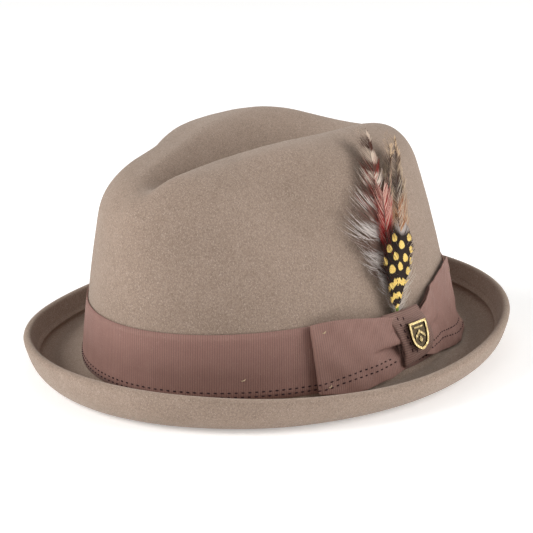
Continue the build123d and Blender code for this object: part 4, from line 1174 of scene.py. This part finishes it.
_g += vane(Q_BROWN, 0.46, 0.72, 30, ([0.3, 1.0], [0.0, 0.0]), ([0.46, 0.6, 0.72], [14.0, 17.0, 15.0]),
           ([0.0, 1.0], [48, 40]), ([0.0, 1.0], [14, 10]), 43, w=0.20, k=13, lift=0.8, jitter=0.22, dd=0.2, pat=0.25)
_g += vane(Q_BROWN, 0.10, 0.30, 70, ([0.10, 0.30], [3.0, 5.0]), ([0.10, 0.30], [6.0, 12.5]),
           ([0.0, 1.0], [70, 60]), ([0.0, 1.0], [18, 20]), 47, w=0.22, k=11, lift=0.8, jitter=0.3, dd=0.4, pat=0.85)
_V, _F, _A, _B, _ = merge(_g)
new_mesh("brown_barbs", _V, _F, feather_material("brown_barbs", "brown"), "brown_feather", "feather_bunch",
         {"fa": _A, "pat": _B}, ("brown_hackle",))

# red hackle
_g = vane(Q_RED, 0.20, 0.99, 180, ([0.20, 0.5, 0.75, 0.9, 1.0], [4.5, 8.5, 13.0, 14.0, 9.0]), ([0.20, 0.5, 0.75, 0.9, 1.0], [4.5, 9.0, 13.0, 14.0, 9.0]),
          ([0.0, 0.7, 1.0], [36, 38, 34]), ([0.0, 0.7, 1.0], [12, 22, 26]), 53, w=0.36, k=12, lift=0.5, jitter=0.18)
_V, _F, _A, _B, _ = merge(_g)
new_mesh("red_barbs", _V, _F, feather_material("red_barbs", "red"), "red_feather", "feather_bunch", {"fa": _A, "pat": _B}, ("red_hackle",))

# black spotted guinea feather in front
_g = vane(Q_GUINEA, 0.25, 0.985, 170,
          ([0.20, 0.34, 0.48, 0.62, 0.78, 0.90, 1.0], [3.5, 8.0, 14.0, 15.5, 14.0, 10.5, 6.0]),
          ([0.20, 0.34, 0.48, 0.62, 0.78, 0.90, 1.0], [3.5, 7.5, 13.0, 14.5, 14.0, 10.5, 6.0]),
          ([0.0, 0.5, 0.8, 1.0], [48, 58, 56, 40]), ([0.0, 0.5, 0.8, 1.0], [30, 38, 32, 14]), 61, w=0.52, k=24, lift=0.2, jitter=0.03, dd=0.9)
_V, _F, _A, _B, _C = merge(_g)
_dots = [(2.5, 68.9, 1.15, 1.9), (11.1, 66.3, 1.15, 1.8), (5.6, 64.6, 1.35, 1.9), (-1.5, 64.8, 1.15, 1.9), (10.6, 60.6, 0.9, 1.8), (1.2, 60.4, 1.15, 1.9),
         (6.2, 58.1, 1.15, 2.0), (-4.8, 59.6, 0.95, 2.0), (2.5, 55.2, 1.05, 2.0), (-1.9, 55.1, 1.35, 2.0), (6.4, 51.5, 1.1, 1.9), (-7.8, 52.9, 1.0, 2.0),
         (9.2, 55.4, 0.8, 1.8)]
_pat = np.zeros(len(_V))
for _a, _h, _rx, _rz in _dots:
    _x = (np.radians(_C[:, 0] - _a + 1.5) * 80.) / (_rx * 1.75)
    _z = (_C[:, 1] - _h) / (_rz * 1.08)
    _x = _x * (1 + 0.30 * _z)
    _pat = np.maximum(_pat, np.clip(1.0 - (np.hypot(_x, _z) - 0.70) / 0.5, 0, 1))
for _hc, _slope, _wide, _half in ((48.8, 0.34, 1.9, 10.5), (42.6, 0.36, 1.7, 8.5), (37.0, 0.36, 1.5, 6.0), (32.4, 0.3, 1.1, 3.5)):
    _ac = np.interp(_hc, [33, 39.6, 48.7, 57.6], [-4.4, -3.9, -2.0, 0.4])
    _x = np.radians(_C[:, 0] - _ac) * 80.
    _ab = np.abs(_x)
    _z = _C[:, 1] - (_hc - _slope * _ab + 0.5 * np.sin(_x * 1.9 + _hc))
    _w = _wide * (1 - 0.25 * _ab / _half) * (1 + 0.2 * np.sin(_x * 3.1 + 1))
    _v = np.clip(1.0 - (np.abs(_z) / _w - 0.6) / 0.5, 0, 1) * (_ab < _half) * (_ab > 0.12)
    _pat = np.maximum(_pat, _v)
_pat = np.clip(_pat, 0, 1)
new_mesh("guinea_barbs", _V, _F, feather_material("guinea_barbs", "guinea"), "guinea_feather", "feather_bunch",
         {"fa": _A, "pat": _pat}, ("guinea_feather",))


def quill_material():
    m = Mat("quill", 0.4, Specular_IOR_Level=0.5)
    c = m.coords()
    z = m.split(c)[2]
    n = m.noise(c, 700, 3)
    col = m.ramp(m.math("MULTIPLY", z, 9.0), [(0.30, (0.42, 0.33, 0.22)), (0.60, (0.16, 0.09, 0.06)), (1.0, (0.07, 0.035, 0.025))])
    col = m.mix(m.ramp(n, [(0.3, 0.0), (0.7, 0.4)]), col, m.mix(1.0, col, (0.6, 0.6, 0.6), "MULTIPLY"))
    return m.done(col, m.bump(n, 0.00005, 0.4))


_qs = []
for _q, _r0, _r1, _t1 in ((Q_GRIZZLY, 0.42, 0.10, 0.985), (Q_BROWN, 0.42, 0.10, 0.985), (Q_BROWN2, 0.30, 0.09, 0.97),
                          (Q_RED, 0.36, 0.12, 0.96), (Q_GUINEA, 0.36, 0.12, 0.97)):
    _p = _q.path(90, 0.0, _t1)
    _qs.append(capped(_p, np.linspace(_r0, _r1, 90), 8))
new_mesh("feather_quills", *join(_qs), quill_material(), "quill", "feather_bunch", nodes=("feather_stems",))

# green thread bound round the quills
_s0, _s1 = wall_deg(-4.2, 14.0, 2.35), wall_deg(-2.4, 36.4, 3.0)
_ax = (_s1 - _s0) / np.linalg.norm(_s1 - _s0)
_e1 = np.cross(_ax, [0.0, 1.0, 0.0])
_e1 = _e1 / np.linalg.norm(_e1)
_e2 = np.cross(_ax, _e1)
_box = np.array(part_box("feather_binding")) / MM
_turns = 46
_u = np.linspace(0, 1, _turns * 14)
_len = float(np.linalg.norm(_s1 - _s0))
_cz = (_box[0][2] + _box[1][2]) / 2
_k0 = np.clip((_box[0][2] + 0.3 - _s0[2]) / _ax[2], 0, _len)
_k1 = _len
_rad = 1.02 + 0.05 * np.sin(_u * 41) + 0.03 * np.sin(_u * 173)
_p = _s0 + _ax * (_k0 + (_k1 - _k0) * _u)[:, None] + _rad[:, None] * (_e1 * np.cos(_u * _turns * 2 * np.pi)[:, None] + _e2 * np.sin(_u * _turns * 2 * np.pi)[:, None])
new_mesh("binding_thread", *capped(_p, np.full(len(_p), 0.23), 6), GREEN, "green_thread", "feather_bunch", nodes=("feather_binding",))

# ---- inside ------------------------------------------------------------------------
def ring(h_rows, d_rows, n=720, wave=None):
    """A closed grid round the inside from matching rows of heights and distances."""
    th = np.linspace(0, 2 * np.pi, n, endpoint=False)[:, None]
    h = np.broadcast_to(np.asarray(h_rows, float)[None, :], (n, len(h_rows)))
    d = np.broadcast_to(np.asarray(d_rows, float)[None, :], h.shape)
    if wave is not None:
        d = d + wave(th, h)
    return wall(np.broadcast_to(th, h.shape), h, d)


COTTON = twill("sweatband_twill", (0.085, 0.060, 0.050), (0.175, 0.130, 0.108))
SATIN = satin("lining_satin", (0.115, 0.062, 0.060), (0.205, 0.120, 0.112))
SATIN_RIBBON = satin("satin_ribbon", (0.050, 0.030, 0.028), (0.10, 0.064, 0.058), 0.42)
PIPING = satin("piping_satin", (0.075, 0.038, 0.036), (0.15, 0.085, 0.078), 0.5)
REED = grosgrain("reed_tape", (0.085, 0.062, 0.052), (0.15, 0.115, 0.095), 0.8, 0.1)

_h = np.concatenate([[1.7, 1.9, 2.3], np.linspace(3.2, 34.4, 22), [35.4, 35.8, 36.0]])
_d = np.full(_h.shape, -3.75)
sweat = sheet_solid("sweatband_cloth", ring(_h, _d, 900, lambda th, h: 0.05 * np.sin(th * 37 + h * 0.3) + 0.10 * np.exp(-((h - 4.65) / 0.7) ** 2)),
                    0.85, COTTON, "sweatband_cotton", close_n=True, nodes=("sweatband",))

_n = 178
_t = np.linspace(0, 2 * np.pi, _n, endpoint=False)
_p = wall(_t, np.full(_n, 4.65), -4.24)
_q = wall(_t + 2 * np.pi / _n * 0.62, np.full(_n, 4.65), -4.24)
_nn = -np.stack([np.cos(_t), np.sin(_t), 0 * _t], -1)
new_mesh("sweatband_stitches", *dashes(_p, _q, _nn, r=0.24, arch=0.10), WELT_THREAD, "felt_thread", nodes=("sweatband_stitching",))

# reed: a thin cord wrapped in tape along the sweatband's lower edge
_n = 1600
_t = np.linspace(0, 2 * np.pi, _n, endpoint=False)
_c = wall(_t, np.full(_n, 0.88), -3.66)
_u = lengths(_c[:, None], 0)[:, 0]
_ph = np.linspace(0, 2 * np.pi, 10, endpoint=False)
_wrap = 0.57 + 0.06 * np.abs(np.sin(_u[:, None] * np.pi / 1.5 + _ph[None] * 0.5))
_V, _F = tube(_c, _wrap, 10, closed=True)
_at = np.stack([np.repeat(_u / 1.5, 10), np.tile(_ph, _n), np.zeros(_n * 10)], -1)
new_mesh("reed_cord", _V, _F, REED, "reed_tape", attrs={"rib": _at}, nodes=("sweatband_reed",))

_tape = sheet_solid("reed_tape_strip", ring(np.linspace(3.6, 9.6, 5), np.full(5, -2.65), 720), 0.34, REED, "reed_tape", close_n=True, nodes=("sweatband_tape",))

# lining: pleated side, corded seam and tip
_hh = np.concatenate([[11.0, 12.0, 14.0], np.linspace(18, 60, 16), [63.0, 65.2, 66.5]])
_dd = -2.72 - 0.9 * smoothstep(_hh, 11.0, 66.0)


def _pucker(th, h):
    k = smoothstep(h, 48.0, 66.0)
    g = np.sin(th * 61 + 1.3 * np.sin(th * 7)) * 0.5 + np.sin(th * 113 + 2.0 * np.sin(th * 5)) * 0.35
    return (g * 0.30 * k + 0.10 * np.sin(th * 23 + h * 0.11)) * smoothstep(h, 12, 20) - 0.12 * k


side = sheet_solid("lining_side_cloth", ring(_hh, _dd, 1100, _pucker), 0.30, SATIN, "satin", close_n=True, nodes=("lining_side",))

_n = 1500
_t = np.linspace(0, 2 * np.pi, _n, endpoint=False)
_c = wall(_t, np.full(_n, 67.4), -4.4)
_u = lengths(_c[:, None], 0)[:, 0]
_ph = np.linspace(0, 2 * np.pi, 10, endpoint=False)
_rad = 0.56 + 0.11 * np.abs(np.sin(_u[:, None] * np.pi / 2.4 + _ph[None]))
_V, _F = tube(_c, _rad, 10, closed=True)
_at = np.stack([np.repeat(_u, 10), np.tile(_ph, _n), np.zeros(_n * 10)], -1)
new_mesh("lining_cord", _V, _F, PIPING, "satin_piping", attrs={"rib": _at}, nodes=("lining_piping",))

_n, _m = 360, 34
_t = np.linspace(0, 2 * np.pi, _n, endpoint=False)
_edge = wall(_t, np.full(_n, 68.3), -4.05)
_mid = _edge.mean(0)
_f = np.concatenate([[0.004], np.linspace(0.03, 1.0, _m - 1)])
_G = _mid + (_edge - _mid)[None] * _f[:, None, None]
_G[..., 2] += (0.42 * (1 - _f ** 2)[:, None] + 0.16 * np.sin(_t * 33)[None] * (_f ** 5)[:, None]
               + 0.10 * waves(_G, 40., 77))
tip = sheet_solid("lining_tip_cloth", _G.transpose(1, 0, 2), 0.36, SATIN, "satin", close_n=True, nodes=("lining_tip",))
_e = _edge - _mid

# small ribbon bow over the sweatband's seam at the back
_b = np.array(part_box("sweatband_bow")) / MM
_cb = (_b[0] + _b[1]) / 2
_sz = _b[1] - _b[0]


def little_bow():
    parts = []
    cx, cy, cz = _cb
    for sg in (-1, 1):
        k, m_ = 60, 9
        t = np.linspace(0, 2 * np.pi, k, endpoint=False)
        v = np.linspace(-1, 1, m_)
        W = _sz[0] * 0.44
        rows = []
        for a in t:
            x = sg * (W * 0.5 * (1 - math.cos(a)) + 0.6)
            open_ = math.sin(a)
            hw = (0.22 + 0.78 * math.sin(a / 2) ** 0.8) * _sz[2] * 0.42
            rows.append(np.stack([np.full(m_, cx + x), np.full(m_, cy + open_ * _sz[1] * 0.30) - 0.12 * np.cos(v * 6) * math.sin(a / 2),
                                  cz + v * hw], -1))
        parts.append(np.array(rows))
    return parts


_bows = []
for _G in little_bow():
    n_, m_ = _G.shape[:2]
    nr = normals_of(_G, close_n=True)
    V_ = np.concatenate([(_G + nr * 0.12).reshape(-1, 3), (_G - nr * 0.12).reshape(-1, 3)])
    k_ = n_ * m_
    i_ = np.arange(n_)
    i1_ = (i_ + 1) % n_
    f_ = [grid_faces(n_, m_, True), grid_faces(n_, m_, True, start=k_)[:, ::-1],
          np.stack([i_ * m_, i1_ * m_, i1_ * m_ + k_, i_ * m_ + k_], -1),
          np.stack([i_ * m_ + m_ - 1, i_ * m_ + m_ - 1 + k_, i1_ * m_ + m_ - 1 + k_, i1_ * m_ + m_ - 1], -1)]
    _bows.append((V_, np.concatenate(f_)))
_t = np.linspace(0, 2 * np.pi, 40, endpoint=False)
_ring = np.stack([_cb[0] + 0 * _t, _cb[1] + np.cos(_t) * _sz[1] * 0.38, _cb[2] + np.sin(_t) * _sz[2] * 0.20], -1)
_bows.append(tube(_ring, np.broadcast_to(np.array([0.25, 0.9, 0.25, 0.9])[None], (40, 4)) * 0.8, 4, closed=True))
_V, _F = join(_bows)
new_mesh("sweatband_small_bow", _V, _F, SATIN_RIBBON, "satin_ribbon", attrs={"rib": _V}, nodes=("sweatband_bow",))

# ---- studio ---------------------------------------------------------------------
floor_me = bpy.data.meshes.new("floor")
floor_me.from_pydata([(-6, -6, 0), (6, -6, 0), (6, 6, 0), (-6, 6, 0)], [], [(0, 1, 2, 3)])
floor = bpy.data.objects.new("floor", floor_me)
bpy.context.scene.collection.objects.link(floor)
fm = Mat("paper", 0.9, Specular_IOR_Level=0.1, Emission_Strength=0.30)
fm.b.inputs["Emission Color"].default_value = (1, 1, 1, 1)
_n1 = fm.noise(fm.coords(), 3, 2)
floor_me.materials.append(fm.done(fm.mix(_n1, (0.93, 0.93, 0.93), (0.95, 0.95, 0.95))))

world = bpy.data.worlds.new("studio")
bpy.context.scene.world = world
world.use_nodes = True
world.node_tree.nodes["Background"].inputs[0].default_value = (1.0, 1.0, 1.0, 1)
world.node_tree.nodes["Background"].inputs[1].default_value = 0.22


def softbox(name, at, to, size, power, colour=(1.0, 0.985, 0.965)):
    li = bpy.data.lights.new(name, "AREA")
    li.shape = "SQUARE"
    li.size = size
    li.energy = power
    li.color = colour
    ob = bpy.data.objects.new(name, li)
    bpy.context.scene.collection.objects.link(ob)
    ob.location = at
    ob.rotation_euler = (Vector(to) - Vector(at)).to_track_quat("-Z", "Y").to_euler()


softbox("key", (-0.95, -1.40, 1.0), (0, 0, 0.06), 1.1, 33)
softbox("front", (0.70, -1.75, 0.62), (0, 0, 0.05), 0.8, 4)
softbox("side", (1.40, 0.85, 0.75), (0, 0, 0.06), 1.3, 27)
softbox("top", (-0.1, 0.2, 1.9), (0, 0, 0.05), 1.4, 5)
